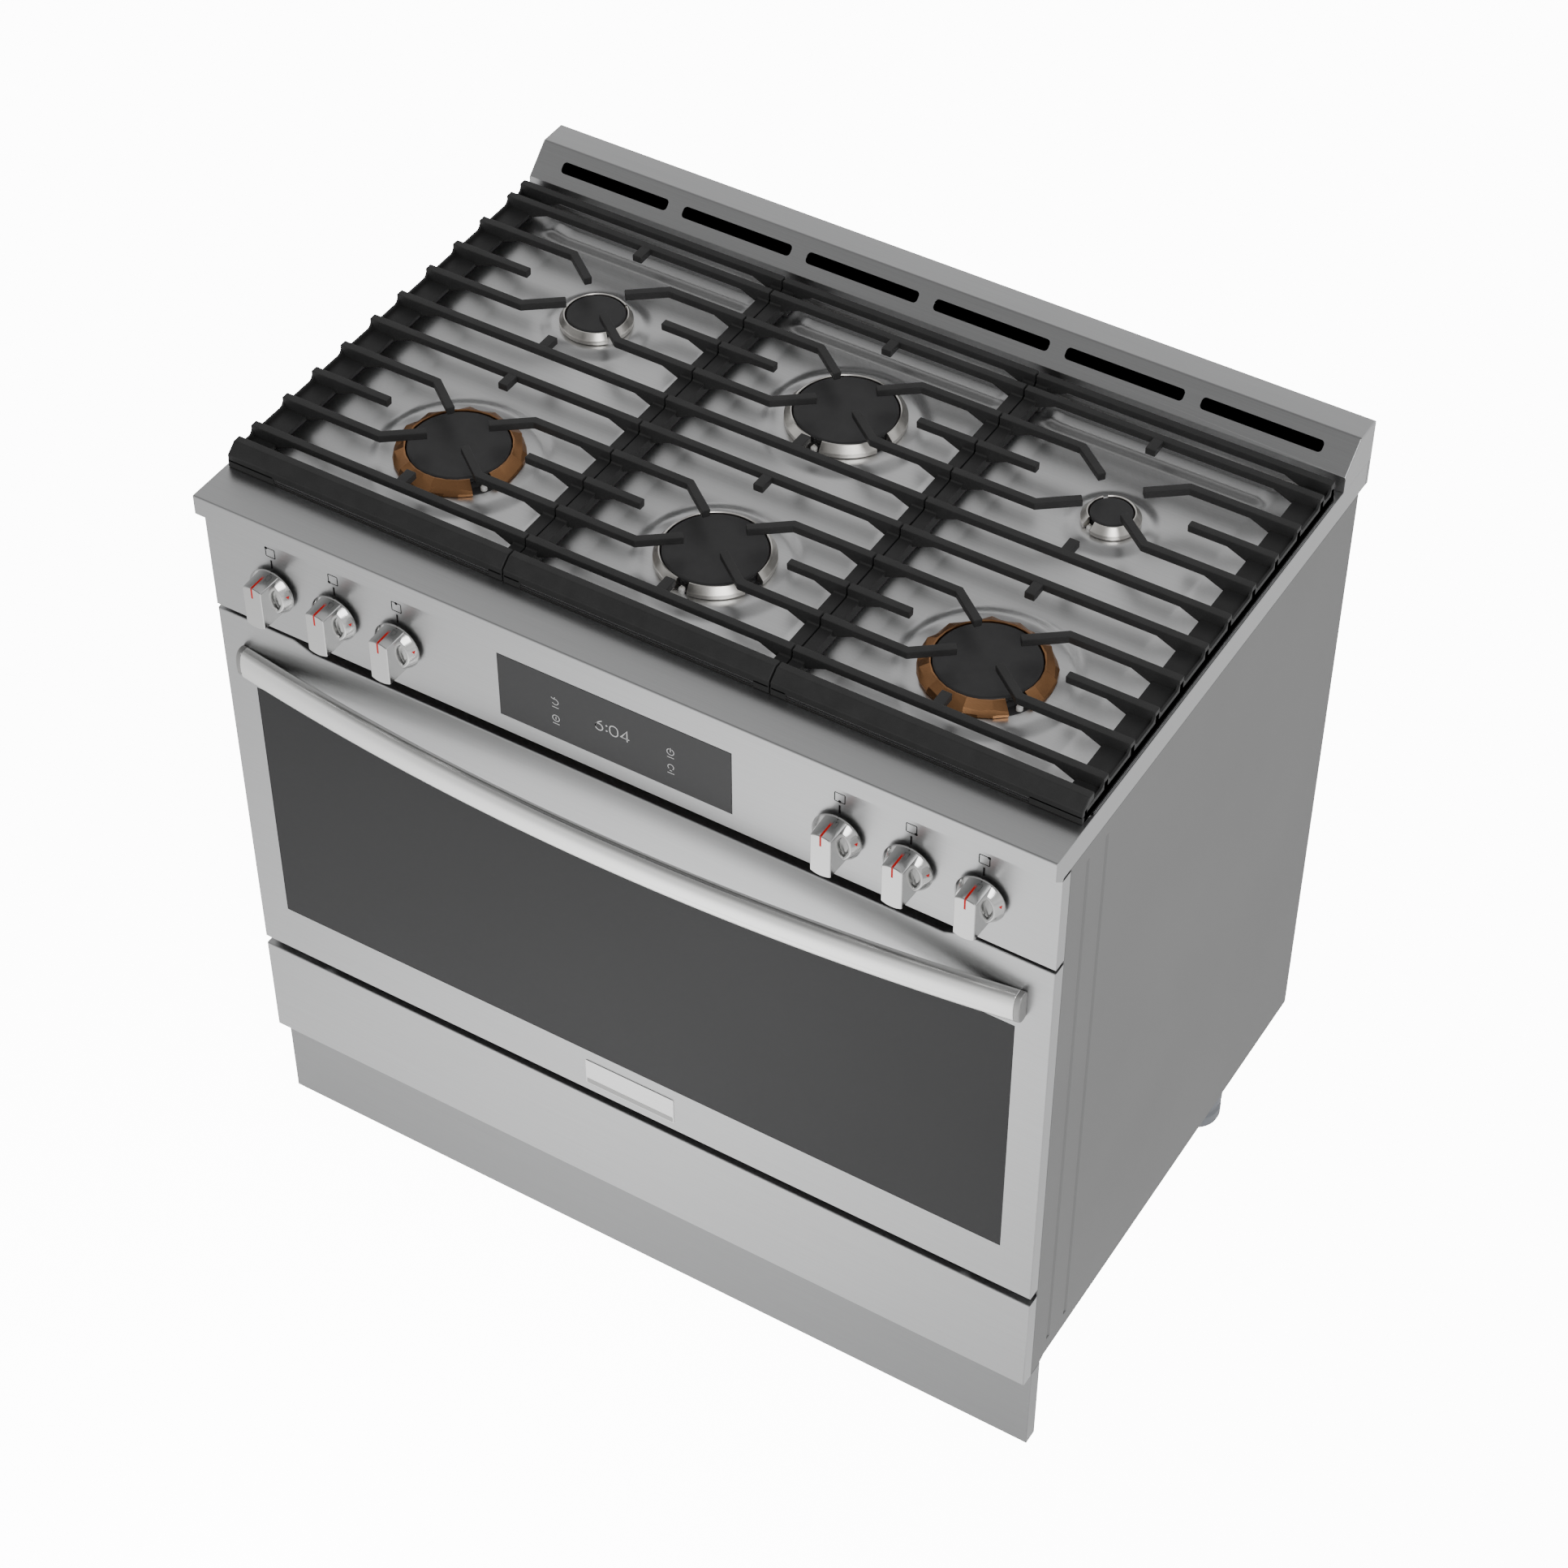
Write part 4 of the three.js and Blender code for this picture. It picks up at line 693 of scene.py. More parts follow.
# angles where a ring is open, for its igniter or a notch
RING_GAPS = {
    "front_left": [(-44, -22)],
    "front_centre": [(-99, -85), (-30, -9)],
    "front_right": [(-44, -22)],
    "rear_left": [(-39, -27), (52, 57)],
    "rear_centre": [(-99, -85), (-30, -12)],
    "rear_right": [(-128, -106), (126, 138)],
}
for where, (cx, cy, cap, ring) in BURNERS.items():
    # the cap, with its edge rounded over
    z1 = CAP_TOP + 0.6
    cap -= 0.8
    cap_outline = [(0, z1 - CAP_THICK), (cap - 1.6, z1 - CAP_THICK), (cap - 0.2, z1 - 3.2), (cap, z1 - 2.2)]
    cap_outline += [(cap - 0.15, z1 - 1.2), (cap - 0.7, z1 - 0.5), (cap - 1.6, z1 - 0.1)]
    cap_outline += [(cap - 3, z1), (0, z1)]
    cap_bm = turned(cap_outline, (cx, cy, 0), 96)
    piece("burner_cap_%s_detail" % where, cap_bm, "cap_enamel", stands_for=["burner_cap_" + where])

    # the head below it, with gas ports round its edge
    ports = int(cap * 1.25)

    def ported(i, k, r, h):
        return (r - 1.5 if k in (1, 2) and i % 2 else r), h

    core = [(0, RING_LOW), (cap - 0.8, RING_TOP - 3.2), (cap - 0.5, RING_TOP - 0.8)]
    core += [(cap - 1.8, RING_TOP + 0.25), (0, RING_TOP + 0.25)]
    head = turned(core, (cx, cy, 0), ports * 2, wobble=ported)
    seat = [(0, TRAY_Z - 20), (16, TRAY_Z - 20), (16, TRAY_Z + 2), (ring - 6, TRAY_Z + 2)]
    seat += [(cap - 3, TRAY_Z + 8), (0, TRAY_Z + 8)]
    piece("burner_head_" + where, [head, turned(seat, (cx, cy, 0), 64)], "cap_enamel", angle=28)

    # the ring around it, in arcs between its gaps
    gaps = sorted((a % 360, b % 360) for a, b in RING_GAPS[where])
    arcs = []
    for i, (_, start) in enumerate(gaps):
        stop = gaps[(i + 1) % len(gaps)][0]
        arcs.append((start, stop if stop > start else stop + 360))
    copper = "front" in where and "centre" not in where
    rings = []
    for start, stop in arcs:
        if copper:
            outline = [(cap + 0.9, RING_TOP - 2.2), (cap + 1.2, CAP_TOP + 0.5), (cap + 2.6, CAP_TOP + 0.9)]
            outline += [(ring - 4.5, TRAY_Z + 11.2), (ring, TRAY_Z + 7.4)]
            outline += [(ring - 0.6, RING_LOW), (cap + 2, RING_LOW)]

            # beaten copper: its slope, rim and collar wander a little
            def crumpled(i, k, r, h):
                fold = math.sin(i * 2.4) + 0.6 * math.sin(i * 5.1 + 1)
                if k == 3:
                    return r + 2.6 * fold, h + 1.2 * math.sin(i * 3.7)
                if k == 4:
                    return r - 1.2 + 1.2 * math.sin(i * 1.9 + 0.5), h + 0.5 * fold
                if k == 2:
                    return r + 0.5 * math.sin(i * 2.9), h
                return r, h

            rings.append(turned(outline, (cx, cy, 0), 27, (start, stop), wobble=crumpled))
        else:
            outline = [(cap + 0.9, RING_TOP - 2.6), (cap + 1.0, CAP_TOP + 0.4), (cap + 1.4, CAP_TOP + 0.9)]
            outline += [(cap + 2.4, CAP_TOP + 0.8), (ring - 0.8, TRAY_Z + 10.6), (ring, TRAY_Z + 9.8)]
            outline += [(ring, TRAY_Z + 5.6), (ring - 1.0, RING_LOW), (cap, RING_LOW)]
            rings.append(turned(outline, (cx, cy, 0), max(8, int((stop - start) / 3)), (start, stop)))
    piece(
        "burner_ring_" + where,
        rings,
        "copper_ring" if copper else "steel_ring",
        stands_for=["burner_base_" + where],
        angle=12 if copper else 30,
        weighted=not copper,
    )
    # the dark foot under the ring, down to the tray
    foot = [(cap - 4, TRAY_Z + 0.6), (ring - 2.5, TRAY_Z + 0.6)]
    foot += [(ring - 2.5, TRAY_Z + 5.2), (cap - 4, TRAY_Z + 5.2)]
    piece("burner_foot_" + where, turned(foot, (cx, cy, 0), 64), "cap_enamel")

    # igniter: a white ceramic post with a metal tip
    angle, reach = IGNITER[where]
    ix = cx + reach * math.cos(math.radians(angle))
    iy = cy + reach * math.sin(math.radians(angle))
    post = [(0, TRAY_Z), (3.3, TRAY_Z), (3.3, TRAY_Z + 8.2)]
    post += [(2.5, TRAY_Z + 9.4), (1.4, TRAY_Z + 10.0), (0, TRAY_Z + 10.0)]
    piece("igniter_post_" + where, turned(post, (ix, iy, 0), 24), "ceramic", slot="steel_ring")
    tip = [(0, TRAY_Z + 9.8), (0.9, TRAY_Z + 9.8), (0.9, TRAY_Z + 11.6), (0, TRAY_Z + 12.0)]
    piece("igniter_tip_" + where, turned(tip, (ix, iy, 0), 12), "steel_ring")

# ---------- grates ----------
RAIL, WIDE_RAIL, BAR, BAR_DEPTH = 12.5, 27.0, 8.6, 8.2
HAUNCH, HAUNCH_DROP = 21.0, 9.0
BAR_BOTTOM = BAR_TOP - BAR_DEPTH
RAIL_TOP = BAR_TOP - 10.6
RAIL_LOW = TRAY_Z + 15.0
ROW_NEAR, ROW_FAR = 0.0929 * TRAY_LENGTH, 0.1903 * TRAY_LENGTH
BEND, TIP_X, TIP_Y, SHORT_TIP = 56.0, 21.5, 19.5, 78.5
TAB_LENGTH, TAB_WIDTH = 16.5, 10.5
APRON_Y = LIP_Y + 50.7
REAR_END = TRAY_Y1 - 9.3
EDGE = 0.9  # softened edges of the casting


def haunch(path, width, other):
    """The deep end of a bar where a path starts: over a rail of that width, then rising."""
    a, span = Vector(path[0]), Vector(path[1]) - Vector(path[0])
    along = span.normalized()
    room = span.length - width - other
    if len(path) == 2 and other:
        room /= 2
    run = min(HAUNCH, room)
    low = BAR_BOTTOM - HAUNCH_DROP
    return [(a, low), (a + along * width, low), (a + along * (width + run), BAR_BOTTOM)]


def finger(path, haunches):
    """A bar along a path in plan, deeper where it meets a rail.

    haunches holds the width of the rail at either end, or 0 for a free end.
    """
    stations = [(Vector(p), BAR_BOTTOM) for p in path]
    if haunches[0]:
        stations[:1] = haunch(path, *haunches)
    if haunches[1]:
        stations[-1:] = haunch(path[::-1], haunches[1], haunches[0])[::-1]
    bm = bmesh.new()
    rows = []
    n = len(stations)
    for i, (p, low) in enumerate(stations):
        before = (p - stations[i - 1][0]).normalized() if i else None
        after = (stations[i + 1][0] - p).normalized() if i < n - 1 else None
        along = ((before or after) + (after or before)).normalized()
        reach = BAR / 2 / along.dot(before or after)
        side = Vector((-along.y, along.x))
        draft = 0.6 if low > BAR_BOTTOM - 1 else 0.2  # the casting narrows downwards
        spots = []
        for sign, z, w in ((1, BAR_TOP, 0), (-1, BAR_TOP, 0), (-1, low, draft), (1, low, draft)):
            q = p + side * sign * (reach - w)
            spots.append(bm.verts.new((q.x, q.y, z)))
        rows.append(spots)
    for a, b in zip(rows, rows[1:]):
        for k in range(4):
            bm.faces.new((a[k], a[(k + 1) % 4], b[(k + 1) % 4], b[k]))
    bm.faces.new(rows[0])
    bm.faces.new(rows[-1])
    bmesh.ops.recalc_face_normals(bm, faces=bm.faces)
    bevel_edges(bm, EDGE, 2)
    return bm


def crested(x0, x1, bars, base, rise, low):
    """A rail or lip whose top climbs in a short fillet to each bar."""
    top = []
    for y in sorted(bars):
        for step, share in ((rise, 0.0), (rise * 0.5, 0.2), (rise * 0.15, 0.6), (0, 1.0)):
            top.append((y - BAR / 2 - step, base + rise * share))
        for step, share in ((0, 1.0), (rise * 0.15, 0.6), (rise * 0.5, 0.2), (rise, 0.0)):
            top.append((y + BAR / 2 + step, base + rise * share))
    top = [p for p in top if APRON_Y + 4 < p[0] < REAR_END]
    front = TRAY_Y0 + TRAY_CORNER
    outline = [(APRON_Y + 3, TOP_Z + FIT), (front, TOP_Z + FIT), (front, low)]
    outline += [(REAR_END, low), (REAR_END, base)] + top[::-1] + [(APRON_Y + 3, base)]
    return prism(outline, "x", x0, x1, 0.4, 2)


def grate(where, x0, x1, cx, slot_x):
    """One casting: its bars about two burners at cx, two rails, feet and the slotted apron."""
    rows = sorted({round(b[1], 3) for b in BURNERS.values()})
    parts, bars = [], []
    left = WIDE_RAIL if where == "left" else RAIL
    right = WIDE_RAIL if where == "right" else RAIL
    for cy in rows:
        for side in (-1, 1):
            far, near = cy + side * ROW_FAR, cy + side * ROW_NEAR
            bars += [far, near]
            parts.append(finger([(x0, far), (x1, far)], (left, right)))
            tab_x = (cx - TAB_WIDTH / 2, cx + TAB_WIDTH / 2)
            tab_y = sorted((far - side * 2, far - side * (BAR / 2 + TAB_LENGTH)))
            parts.append(block(*tab_x, *tab_y, BAR_BOTTOM + 0.4, BAR_TOP - 0.2, EDGE))
            tip = cy + side * TIP_Y
            parts.append(finger([(x0, near), (cx - BEND, near), (cx - TIP_X, tip)], (left, 0)))
            parts.append(finger([(cx + TIP_X, tip), (cx + BEND, near), (x1, near)], (0, right)))
        bars.append(cy)
        parts.append(finger([(x0, cy), (cx - SHORT_TIP, cy)], (left, 0)))
        parts.append(finger([(cx + SHORT_TIP, cy), (x1, cy)], (0, right)))
    rear_bar = REAR_END - BAR / 2
    bars.append(rear_bar)
    parts.append(finger([(x0, rear_bar), (x1, rear_bar)], (left, right)))
    for a, b, width in ((x0, x0 + RAIL, left), (x1 - RAIL, x1, right)):
        if width == RAIL:
            parts.append(crested(a, b, bars, RAIL_TOP, 1.6, RAIL_LOW))
        else:
            # the outer rails are broad and low, with a thin raised lip along the outside
            wide = (a, a + width) if a < 0 else (b - width, b)
            lip = (a, a + 2.6) if a < 0 else (b - 2.6, b)
            parts.append(crested(a, b, bars, RAIL_TOP - 3.4, 0.8, RAIL_LOW))
            parts.append(block(*wide, TRAY_Y0 + 3, REAR_END - 0.4, RAIL_TOP - 6.8, RAIL_TOP - 2.2, 0.8))
            parts.append(crested(*lip, bars, RAIL_TOP + 1.4, 4.5, RAIL_LOW - 6))
        for y in (TRAY_Y0 + 26, sum(rows) / 2, REAR_END - 12):
            spots = [wall_distance(u, v) for u in (a, (a + b) / 2, b) for v in (y - 9, y, y + 9)]
            stand = TRAY_Z + 0.3 + max(tray_height(u, v, d) for d, u, v in spots)
            parts.append(block(a + 0.6, b - 0.6, y - 9, y + 9, min(stand, RAIL_LOW - 0.5), RAIL_LOW + 1, 0.3))
    # the apron at the front, with a long thin slot low in it
    foot, slot_top = TOP_Z + FIT, TOP_Z + 6.4
    upper = [(APRON_Y, slot_top), (APRON_Y + 8.5, slot_top), (APRON_Y + 8.5, BAR_BOTTOM - 2)]
    upper += [(APRON_Y + 19.9, BAR_BOTTOM), (APRON_Y + 19.9, BAR_TOP), (APRON_Y + 11.3, BAR_TOP)]
    upper.append((APRON_Y, BAR_TOP - 9.4))
    parts.append(prism(upper, "x", x0, x1, 1.0, 3))
    in_slot = (slot_x[0] - 1, slot_x[1] + 1)
    parts.append(block(*in_slot, APRON_Y + 0.2, APRON_Y + 1.2, foot, TOP_Z + 1.3, 0.2))
    parts.append(block(*in_slot, APRON_Y + 0.4, APRON_Y + 1.2, TOP_Z + 3.4, TOP_Z + 4.2, 0.15))
    for a, b in ((x0, slot_x[0]), (slot_x[1], x1)):
        parts.append(block(a, b, APRON_Y, APRON_Y + 8.5, foot, slot_top + 3, 0.5))
    node = "grate_" + where
    piece(node + "_detail", parts, "cast_iron", where + "_grate", [node])


APRON_SLOTS = {"left": (-399.5, -157.0), "centre": (-123.0, 124.5), "right": (158.0, 400.0)}
SEAM_ROOM = 0.45  # on each side of a seam between two grates
for where, slot_x in APRON_SLOTS.items():
    low, high = box_mm("grate_" + where)
    x0 = low[0] + (0 if where == "left" else SEAM_ROOM)
    x1 = high[0] - (0 if where == "right" else SEAM_ROOM)
    # a thin light strip on the cooktop, seen through the slot
    in_slot = (slot_x[0] + 0.1, slot_x[1] - 0.1)
    rim = block(*in_slot, APRON_Y + 1.5, APRON_Y + 3.5, TOP_Z + 0.05, TOP_Z + 6.1, 0.2)
    piece("tray_front_rim_" + where, rim, "tray_steel", slot="stainless")
    grate(where, x0, x1, BURNERS["front_" + where][0], slot_x)

# ---------- knobs ----------
KNOB_OUT, SKIRT_BACK, SKIRT_OUT, GRIP = 32.7, 3.4, 13.7, 21.0
TICK_Z0, TICK_Z1 = 805.4, 815.6
ICON_Z, ICON = 824.6, 5.2
# for each knob, the icon's corner or side that its dot is in
ICON_DOTS = {1: (-1, 1), 2: (-1, -1), 3: (0, 1), 4: (0, -1), 5: (1, -1), 6: (1, 1)}


def knob_at(cx, cz, radius):
    """A dished skirt with a flat grip across it, standing out from the console."""
    back, out = SKIRT_BACK, SKIRT_OUT
    skirt = [(0, back), (radius - 1.2, back), (radius - 0.3, back + 0.4), (radius, back + 1.2)]
    skirt += [(radius - 0.5, 6.4), (radius - 4.9, out - 1.0), (radius - 5.6, out - 0.3)]
    skirt += [(radius - 6.6, out), (radius - 8.0, out - 0.3), (radius - 8.6, out - 1.0)]
    skirt += [(radius - 9.1, out - 3.2), (radius - 10.2, out - 3.9), (0, out - 3.2)]
    parts = [turned(skirt, (cx, FACE_Y, cz), 72, axis="y")]
    half = GRIP / 2
    outline = []
    for side in (1, -1):
        reach = math.degrees(math.asin((half + 0.9) / radius))
        outline += ring_points(0, 0, radius - 0.15, 90 * side - reach, 90 * side + reach, 8)
    bm = bmesh.new()
    rows = []
    for out, narrow, short in ((6.0, 1.0, 1), (KNOB_OUT, 0.93, 0.985)):
        rows.append([bm.verts.new((cx + x * narrow, FACE_Y - out, cz + z * short)) for x, z in outline])
    n = len(outline)
    for i in range(n):
        j = (i + 1) % n
        bm.faces.new((rows[0][i], rows[0][j], rows[1][j], rows[1][i]))
    bm.faces.new(rows[0])
    bm.faces.new(rows[1])
    bmesh.ops.recalc_face_normals(bm, faces=bm.faces)
    bevel_edges(bm, 0.9, 3, lambda p: p.y < FACE_Y - 7 or abs(p.y - (FACE_Y - KNOB_OUT)) < 0.5)
    parts.append(bm)
    return parts


for k, (dot_x, dot_z) in ICON_DOTS.items():
    node = "burner_knob_%d" % k
    low, high = box_mm(node)
    cx, cz = (low[0] + high[0]) / 2, (low[2] + high[2]) / 2
    radius = (high[2] - low[2]) / 2
    body = "knob_%d" % k
    piece(node + "_detail", knob_at(cx, cz, radius), "bright_metal", body, [node], angle=34)
    # red pointer line along the top of the grip and down its front
    front = FACE_Y - KNOB_OUT
    top = cz + radius * 0.985
    line = [
        block(cx - 1.0, cx + 1.0, front + 0.6, front + 22, top - 1.0, top + 0.08),
        block(cx - 1.0, cx + 1.0, front - 0.04, front + 1.0, top - 12.5, top - 0.45),
    ]
    piece("knob_line_%d" % k, line, "red_mark", body, slot="bright_metal")
    # red triangle on the skirt's cone, at its right
    mark = turned([(0, -0.6), (2.1, -0.6), (2.1, 0.35), (0, 0.35)], (0, 0, 0), 3)
    round_skirt = Matrix.Rotation(math.radians(-14), 4, "Y")
    onto_cone = Matrix.Rotation(math.radians(-34), 4, "Z") @ Matrix.Rotation(math.radians(90), 4, "Y")
    out_to_cone = Matrix.Translation((radius - 2.25, 0, 0))
    mark.transform(Matrix.Translation((cx, FACE_Y - 8.6, cz)) @ round_skirt @ out_to_cone @ onto_cone)
    piece("knob_mark_%d" % k, mark, "red_mark", body, slot="bright_metal")
    # printed tick and burner icon on the console
    y0, y1 = FACE_Y - 0.06, FACE_Y + 0.2
    dot = ring_points(cx + dot_x * (ICON - 0.6), ICON_Z + dot_z * (ICON - 0.6), 1.6)
    prints = [
        block(cx - 0.95, cx + 0.95, y0, y1, TICK_Z0, TICK_Z1),
        ribbon(rounded(cx - ICON, cx + ICON, ICON_Z - ICON, ICON_Z + ICON, 0.8, 3), 0.95, y0, y1, True),
        prism(dot, "y", y0 - 0.01, y1),
    ]
    piece("console_print_%d" % k, prints, "dark_print", slot="stainless", weighted=False)

# ---------- display: clock digits and plain symbols ----------
DISPLAY_Y = box_mm("display_glass")[0][1]
CLOCK_Z = 779.6
SYMBOLS = [("back", -62.9, 791.3), ("power", -62.9, 770.8), ("timer", 61.0, 791.0), ("lamp", 61.0, 771.2)]


def strokes(name, lines, width):
    parts = [ribbon(points, width, DISPLAY_Y - 0.06, DISPLAY_Y + 0.2, closed) for points, closed in lines]
    piece(name, parts, "pale_print", slot="display_glass", weighted=False)


def clock_digit(kind, x, z):
    """A thin round digit, 13 high, whose foot is at z."""
    if kind == "6":
        tail = [(x + 3.2, z + 13), (x - 0.6, z + 10.2), (x - 3.2, z + 6.6)]
        tail += ring_points(x, z + 4.4, 4.0, 160, 200, 4)
        return [(ring_points(x, z + 4.4, 4.0), True), (tail, False)]
    if kind == "0":
        points = ring_points(x, z + 8.3, 4.3, 0, 180, 10) + ring_points(x, z + 4.7, 4.3, 180, 360, 10)
        return [(points, True)]
    return [([(x + 4.6, z + 3.4), (x - 4.4, z + 3.4), (x + 2.2, z + 13), (x + 2.2, z)], False)]


clock = []
for kind, x in (("6", -15.6), ("0", 0.4), ("4", 12.4)):
    clock += clock_digit(kind, x, CLOCK_Z)
for z in (782.6, 789.0):
    clock.append((ring_points(-7.4, z, 0.45, n=8), True))
strokes("display_clock", clock, 1.15)
symbols = []
for kind, x, z in SYMBOLS:
    if kind == "back":
        symbols.append((ring_points(x, z, 3.4, -150, 120, 16), False))
        symbols.append(([(x - 4.2, z + 4.4), (x - 1.6, z + 2.8), (x - 0.2, z + 5.4)], False))
    elif kind == "power":
        symbols.append((ring_points(x, z, 3.7), True))
        symbols.append(([(x, z - 1.8), (x, z + 1.8)], False))
    elif kind == "timer":
        symbols.append((ring_points(x, z, 3.7, 110, 430, 20), False))
        symbols.append(([(x, z - 0.2), (x, z + 4.8)], False))
    else:
        symbols.append((ring_points(x, z + 1.0, 3.1, -50, 230, 16), False))
        symbols.append(([(x - 1.2, z - 3.6), (x + 1.2, z - 3.6)], False))
    symbols.append(([(x - 3.6, z - 6.8), (x + 3.6, z - 6.8)], False))
strokes("display_symbols", symbols, 0.75)

# ---------- oven door: handle and blank plate ----------
handle_low, handle_high = box_mm("oven_door_handle")
HANDLE_HALF = handle_high[0]
HANDLE_Z = (handle_low[2] + handle_high[2]) / 2
HANDLE_FRONT = handle_low[1]
THICK, TALL, BOW = 9.5, 17.5, 34.0  # half the depth, half the height, and how far it bows out
OVAL_POINTS, OVAL_POWER = 64, 0.78
GROOVE_Z0, GROOVE_Z1, GROOVE_DEPTH = -7.4, -5.4, 0.6
BOW_RADIUS = (HANDLE_HALF**2 + BOW**2) / (2 * BOW)


def handle_section(shrink):
    """A full oval with a fine groove on its front, below the middle."""
    t, h = THICK - shrink, TALL - shrink
    points = []
    for i in range(OVAL_POINTS):
        a = math.radians(i * 360 / OVAL_POINTS)
        c, d = math.cos(a), math.sin(a)
        y, z = math.copysign(abs(c) ** OVAL_POWER, c) * t, math.copysign(abs(d) ** OVAL_POWER, d) * h
        if y < 0 and GROOVE_Z0 < z < GROOVE_Z1:
            y += GROOVE_DEPTH
        points.append((y, z))
    return points


def handle_run(x_list):
    """The bowed bar through the given stations, each with how much its section shrinks."""
    bm = bmesh.new()
    rows = []
    for x, shrink in x_list:
        back = BOW_RADIUS - math.sqrt(BOW_RADIUS**2 - x * x)
        row = []
        for y, z in handle_section(shrink):
            at = min(HANDLE_FRONT + THICK + back + y, FACE_Y - FIT)
            row.append(bm.verts.new((x, at, HANDLE_Z + z)))
        rows.append(row)
    for a, b in zip(rows, rows[1:]):
        for k in range(len(a)):
            m = (k + 1) % len(a)
            bm.faces.new((a[k], a[m], b[m], b[k]))
    bm.faces.new(rows[0])
    bm.faces.new(rows[-1])
    return bm


END_CAP, HANDLE_STEPS = 6.0, 72
inner = HANDLE_HALF - END_CAP
stations = [(-inner, 0.35), (-inner + 0.4, 0.0)]
stations += [(-inner + 0.4 + (2 * inner - 0.8) * i / HANDLE_STEPS, 0.0) for i in range(1, HANDLE_STEPS)]
stations += [(inner - 0.4, 0.0), (inner, 0.35)]
bar = handle_run(stations)
piece("oven_door_handle_detail", bar, "handle_metal", "oven_door", ["oven_door_handle"], angle=40)
for side, name in ((-1, "left"), (1, "right")):
    ends = [(inner + 0.3, 0.3), (inner + 0.7, 0.0)]
    ends += [(HANDLE_HALF - 1.4, 0.0), (HANDLE_HALF - 0.5, 0.4), (HANDLE_HALF, 1.4)]
    cap_bm = handle_run([(side * x, shrink) for x, shrink in ends])
    piece("handle_end_" + name, cap_bm, "cap_end", "oven_door", slot="bright_metal", angle=40)

# A blank plate low on the door, with a dull band along its foot.
plate = prism(rounded(-52, 52, 269, 303.5, 1.2, 4), "y", FACE_Y - 0.9, FACE_Y + 0.5, 0.35, 2)
piece("door_blank_plate", plate, "plate", "oven_door", slot="stainless")
band = prism(rounded(-51, 51, 269.9, 277, 0.8, 3), "y", FACE_Y - 1.0, FACE_Y, 0.1, 1)
piece("door_plate_band", band, "cap_end", "oven_door", slot="stainless")

# ---------- oven racks: round wires ----------
FRAME_WIRE, RACK_WIRE, WIRE_GAPS = 3.0, 1.7, 25
for which in ("lower", "upper"):
    node = which + "_rack"
    low, high = box_mm(node)
    z = (low[2] + high[2]) / 2 - 0.4
    x0, x1 = low[0] + FRAME_WIRE, high[0] - FRAME_WIRE
    y0, y1 = low[1] + FRAME_WIRE, high[1] - FRAME_WIRE
    frame_path = [(x, y, z) for x, y in rounded(x0, x1, y0, y1, 14, 5)]
    wires = [tube(frame_path, FRAME_WIRE, 10, True)]
    for i in range(1, WIRE_GAPS):
        x = x0 + (x1 - x0) * i / WIRE_GAPS
        wires.append(tube([(x, y0, z + 1.2), (x, y1 - 2, z + 1.2), (x, y1, z + 0.6)], RACK_WIRE, 8))
    for y in (y0 + (y1 - y0) / 3, y0 + 2 * (y1 - y0) / 3):
        wires.append(tube([(x0, y, z - 1.4), (x1, y, z - 1.4)], RACK_WIRE, 8))
    piece(node + "_detail", wires, "rack_wire", stands_for=[node], angle=60, weighted=False)

# ---------- floor and light ----------
FLOOR_HALF = 30.0
FLOOR_SHADE = 0.9
FLOOR_GLOW = 12.0  # seen by the camera alone, so that the paper comes out white
POOL, AROUND_POOL = 1.5, 0.35  # a soft pool of light in front, seen in the steel
POOL_PLACE, POOL_REACH = (-0.12, -0.8, 0), (1.25, 1.45, 1)
floor_mesh = bpy.data.meshes.new("floor")
floor_corners = [(x * FLOOR_HALF, y * FLOOR_HALF, 0) for x, y in ((-1, -1), (1, -1), (1, 1), (-1, 1))]
floor_mesh.from_pydata(floor_corners, [], [(0, 1, 2, 3)])
floor = bpy.data.objects.new("floor", floor_mesh)
SCENE.collection.objects.link(floor)
floor_mat = Mat("floor_paper", rough=0.9, color=(FLOOR_SHADE,) * 3)
floor_mat.tint(floor_mat.noise(0.6, 2.0), (FLOOR_SHADE,) * 3, 0.005)
path = floor_mat.node("ShaderNodeLightPath")
glow = floor_mat.node("ShaderNodeEmission")
spread = floor_mat.node("ShaderNodeMapping", vector_type="TEXTURE")
spread.inputs["Location"].default_value = POOL_PLACE
spread.inputs["Scale"].default_value = POOL_REACH
floor_mat.link(floor_mat.coords, spread.inputs["Vector"])
pool = floor_mat.node("ShaderNodeTexGradient", gradient_type="QUADRATIC_SPHERE")
floor_mat.link(spread.outputs["Vector"], pool.inputs["Vector"])
pooled = floor_mat.node("ShaderNodeMath", operation="MULTIPLY_ADD")
pooled.inputs[1].default_value = POOL
pooled.inputs[2].default_value = AROUND_POOL
floor_mat.link(pool.outputs["Fac"], pooled.inputs[0])
strength = floor_mat.node("ShaderNodeMath", operation="MULTIPLY_ADD")
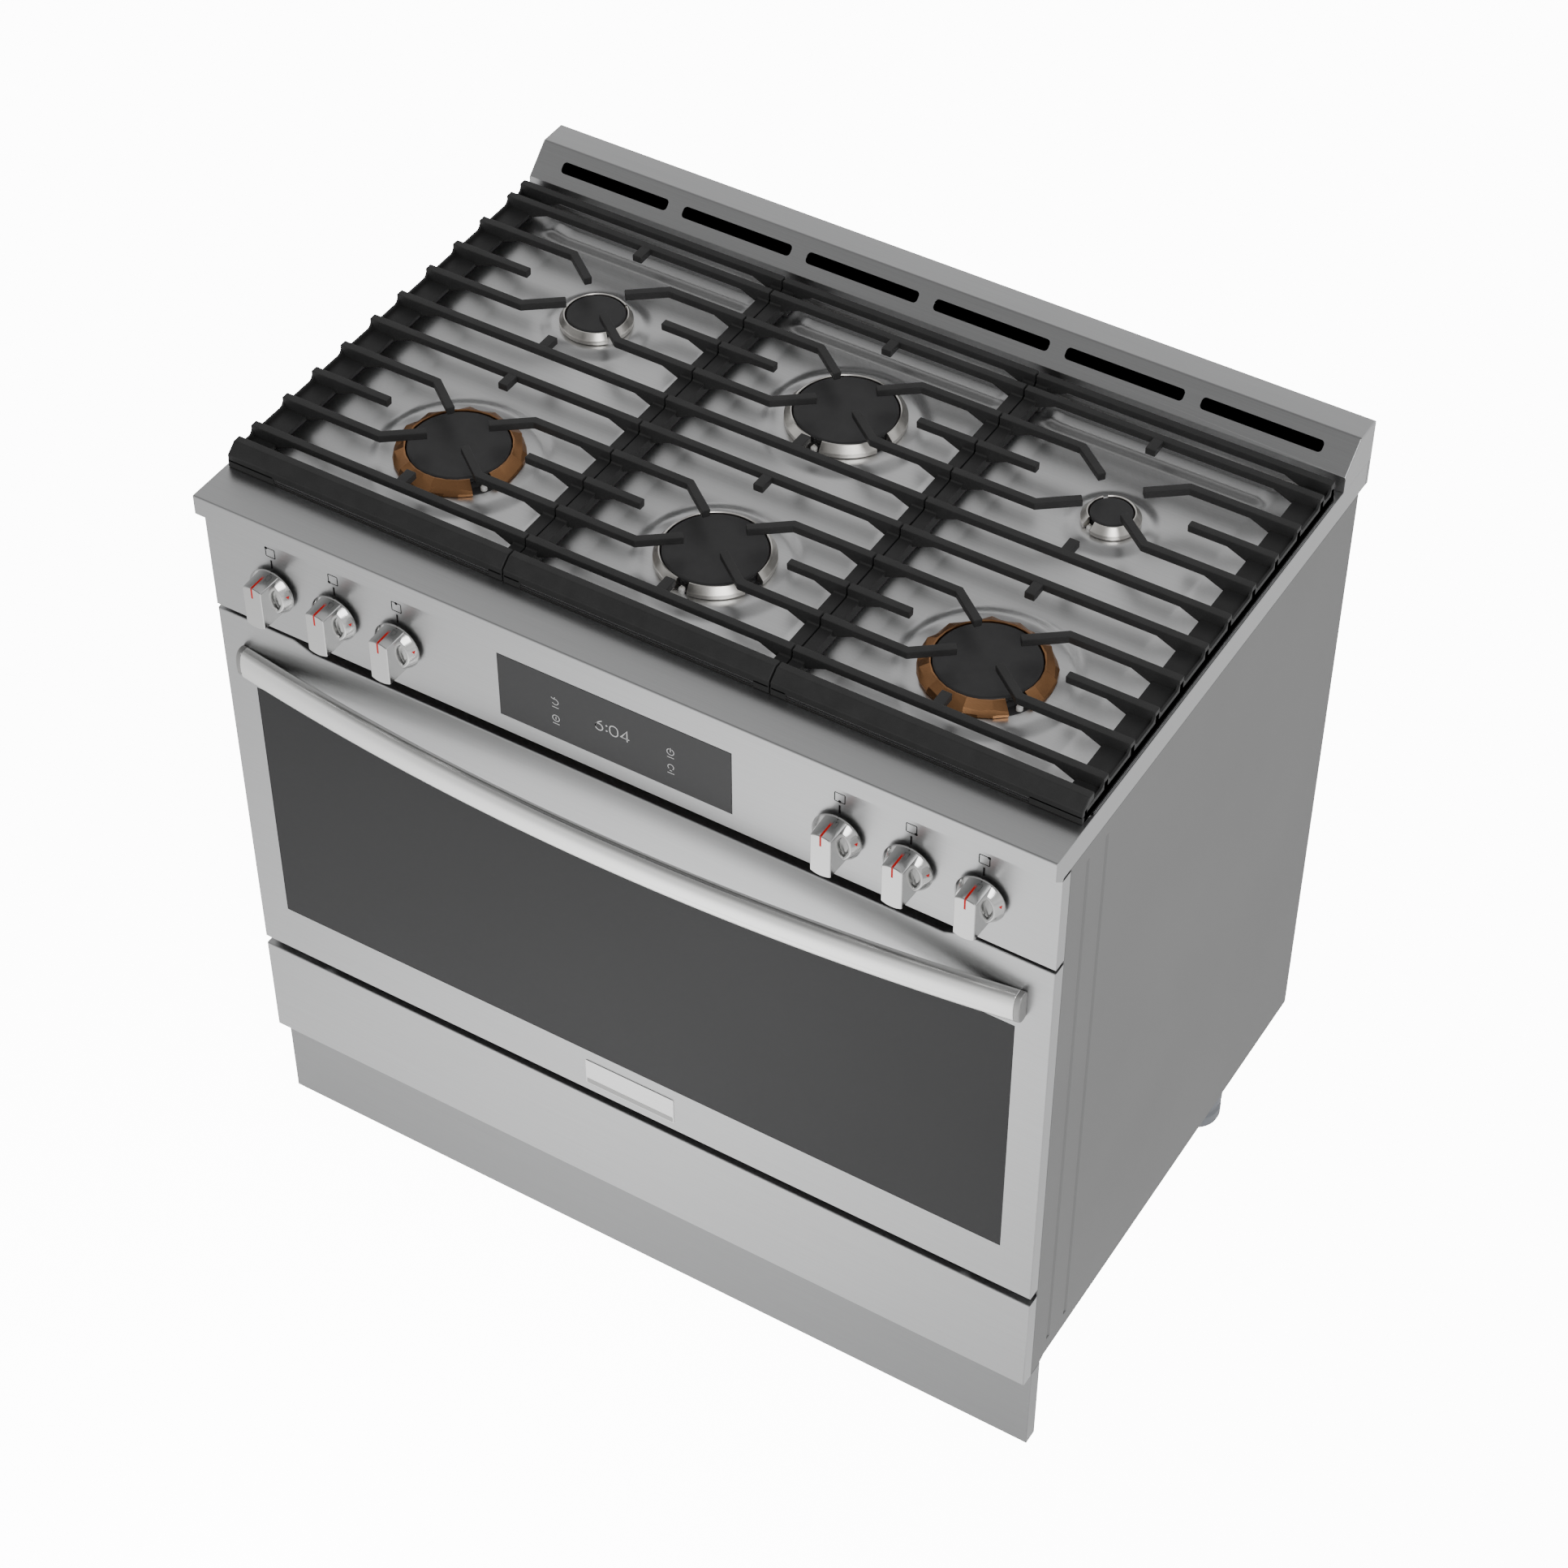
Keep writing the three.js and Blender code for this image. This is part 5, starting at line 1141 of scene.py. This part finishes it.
strength.inputs[1].default_value = FLOOR_GLOW
floor_mat.link(path.outputs["Is Camera Ray"], strength.inputs[0])
floor_mat.link(pooled.outputs[0], strength.inputs[2])
floor_mat.link(strength.outputs[0], glow.inputs["Strength"])
both = floor_mat.node("ShaderNodeAddShader")
floor_mat.link(floor_mat.bsdf.outputs[0], both.inputs[0])
floor_mat.link(glow.outputs[0], both.inputs[1])
floor_mat.link(both.outputs[0], floor_mat.out.inputs["Surface"])
floor.data.materials.append(floor_mat.mat)
floor.location.z = -0.0005


# The studio: bright all round, darker overhead.
SKY_TO = Vector((0, -0.25, 1)).normalized()  # where the sky is darkest
SKY_FROM, SKY_UNTIL = 0.12, 0.88  # how far towards it the shade begins and ends
SKY_BRIGHT, SKY_DARK = 1.05, 0.24
world = bpy.data.worlds.new("world")
world.use_nodes = True
tree = world.node_tree
sky = tree.nodes["Background"]
sky.inputs["Color"].default_value = (1, 1, 1, 1)
direction = tree.nodes.new("ShaderNodeTexCoord").outputs["Generated"]
facing = tree.nodes.new("ShaderNodeVectorMath")
facing.operation = "DOT_PRODUCT"
facing.inputs[1].default_value = SKY_TO
tree.links.new(direction, facing.inputs[0])
shade = tree.nodes.new("ShaderNodeMapRange")
shade.inputs["From Min"].default_value = SKY_FROM
shade.inputs["From Max"].default_value = SKY_UNTIL
shade.inputs["To Min"].default_value = SKY_BRIGHT
shade.inputs["To Max"].default_value = SKY_DARK
tree.links.new(facing.outputs["Value"], shade.inputs["Value"])
tree.links.new(shade.outputs["Result"], sky.inputs["Strength"])
SCENE.world = world

KEY_PLACE, KEY_TARGET = Vector((2.6, -2.6, 3.4)), Vector((0, -0.3, 0.5))
key_data = bpy.data.lights.new("key", "AREA")
key_data.energy = 70
key_data.size = 2.0
key_light = bpy.data.objects.new("key", key_data)
SCENE.collection.objects.link(key_light)
key_light.location = KEY_PLACE
key_light.rotation_euler = (KEY_TARGET - KEY_PLACE).to_track_quat("-Z", "Y").to_euler()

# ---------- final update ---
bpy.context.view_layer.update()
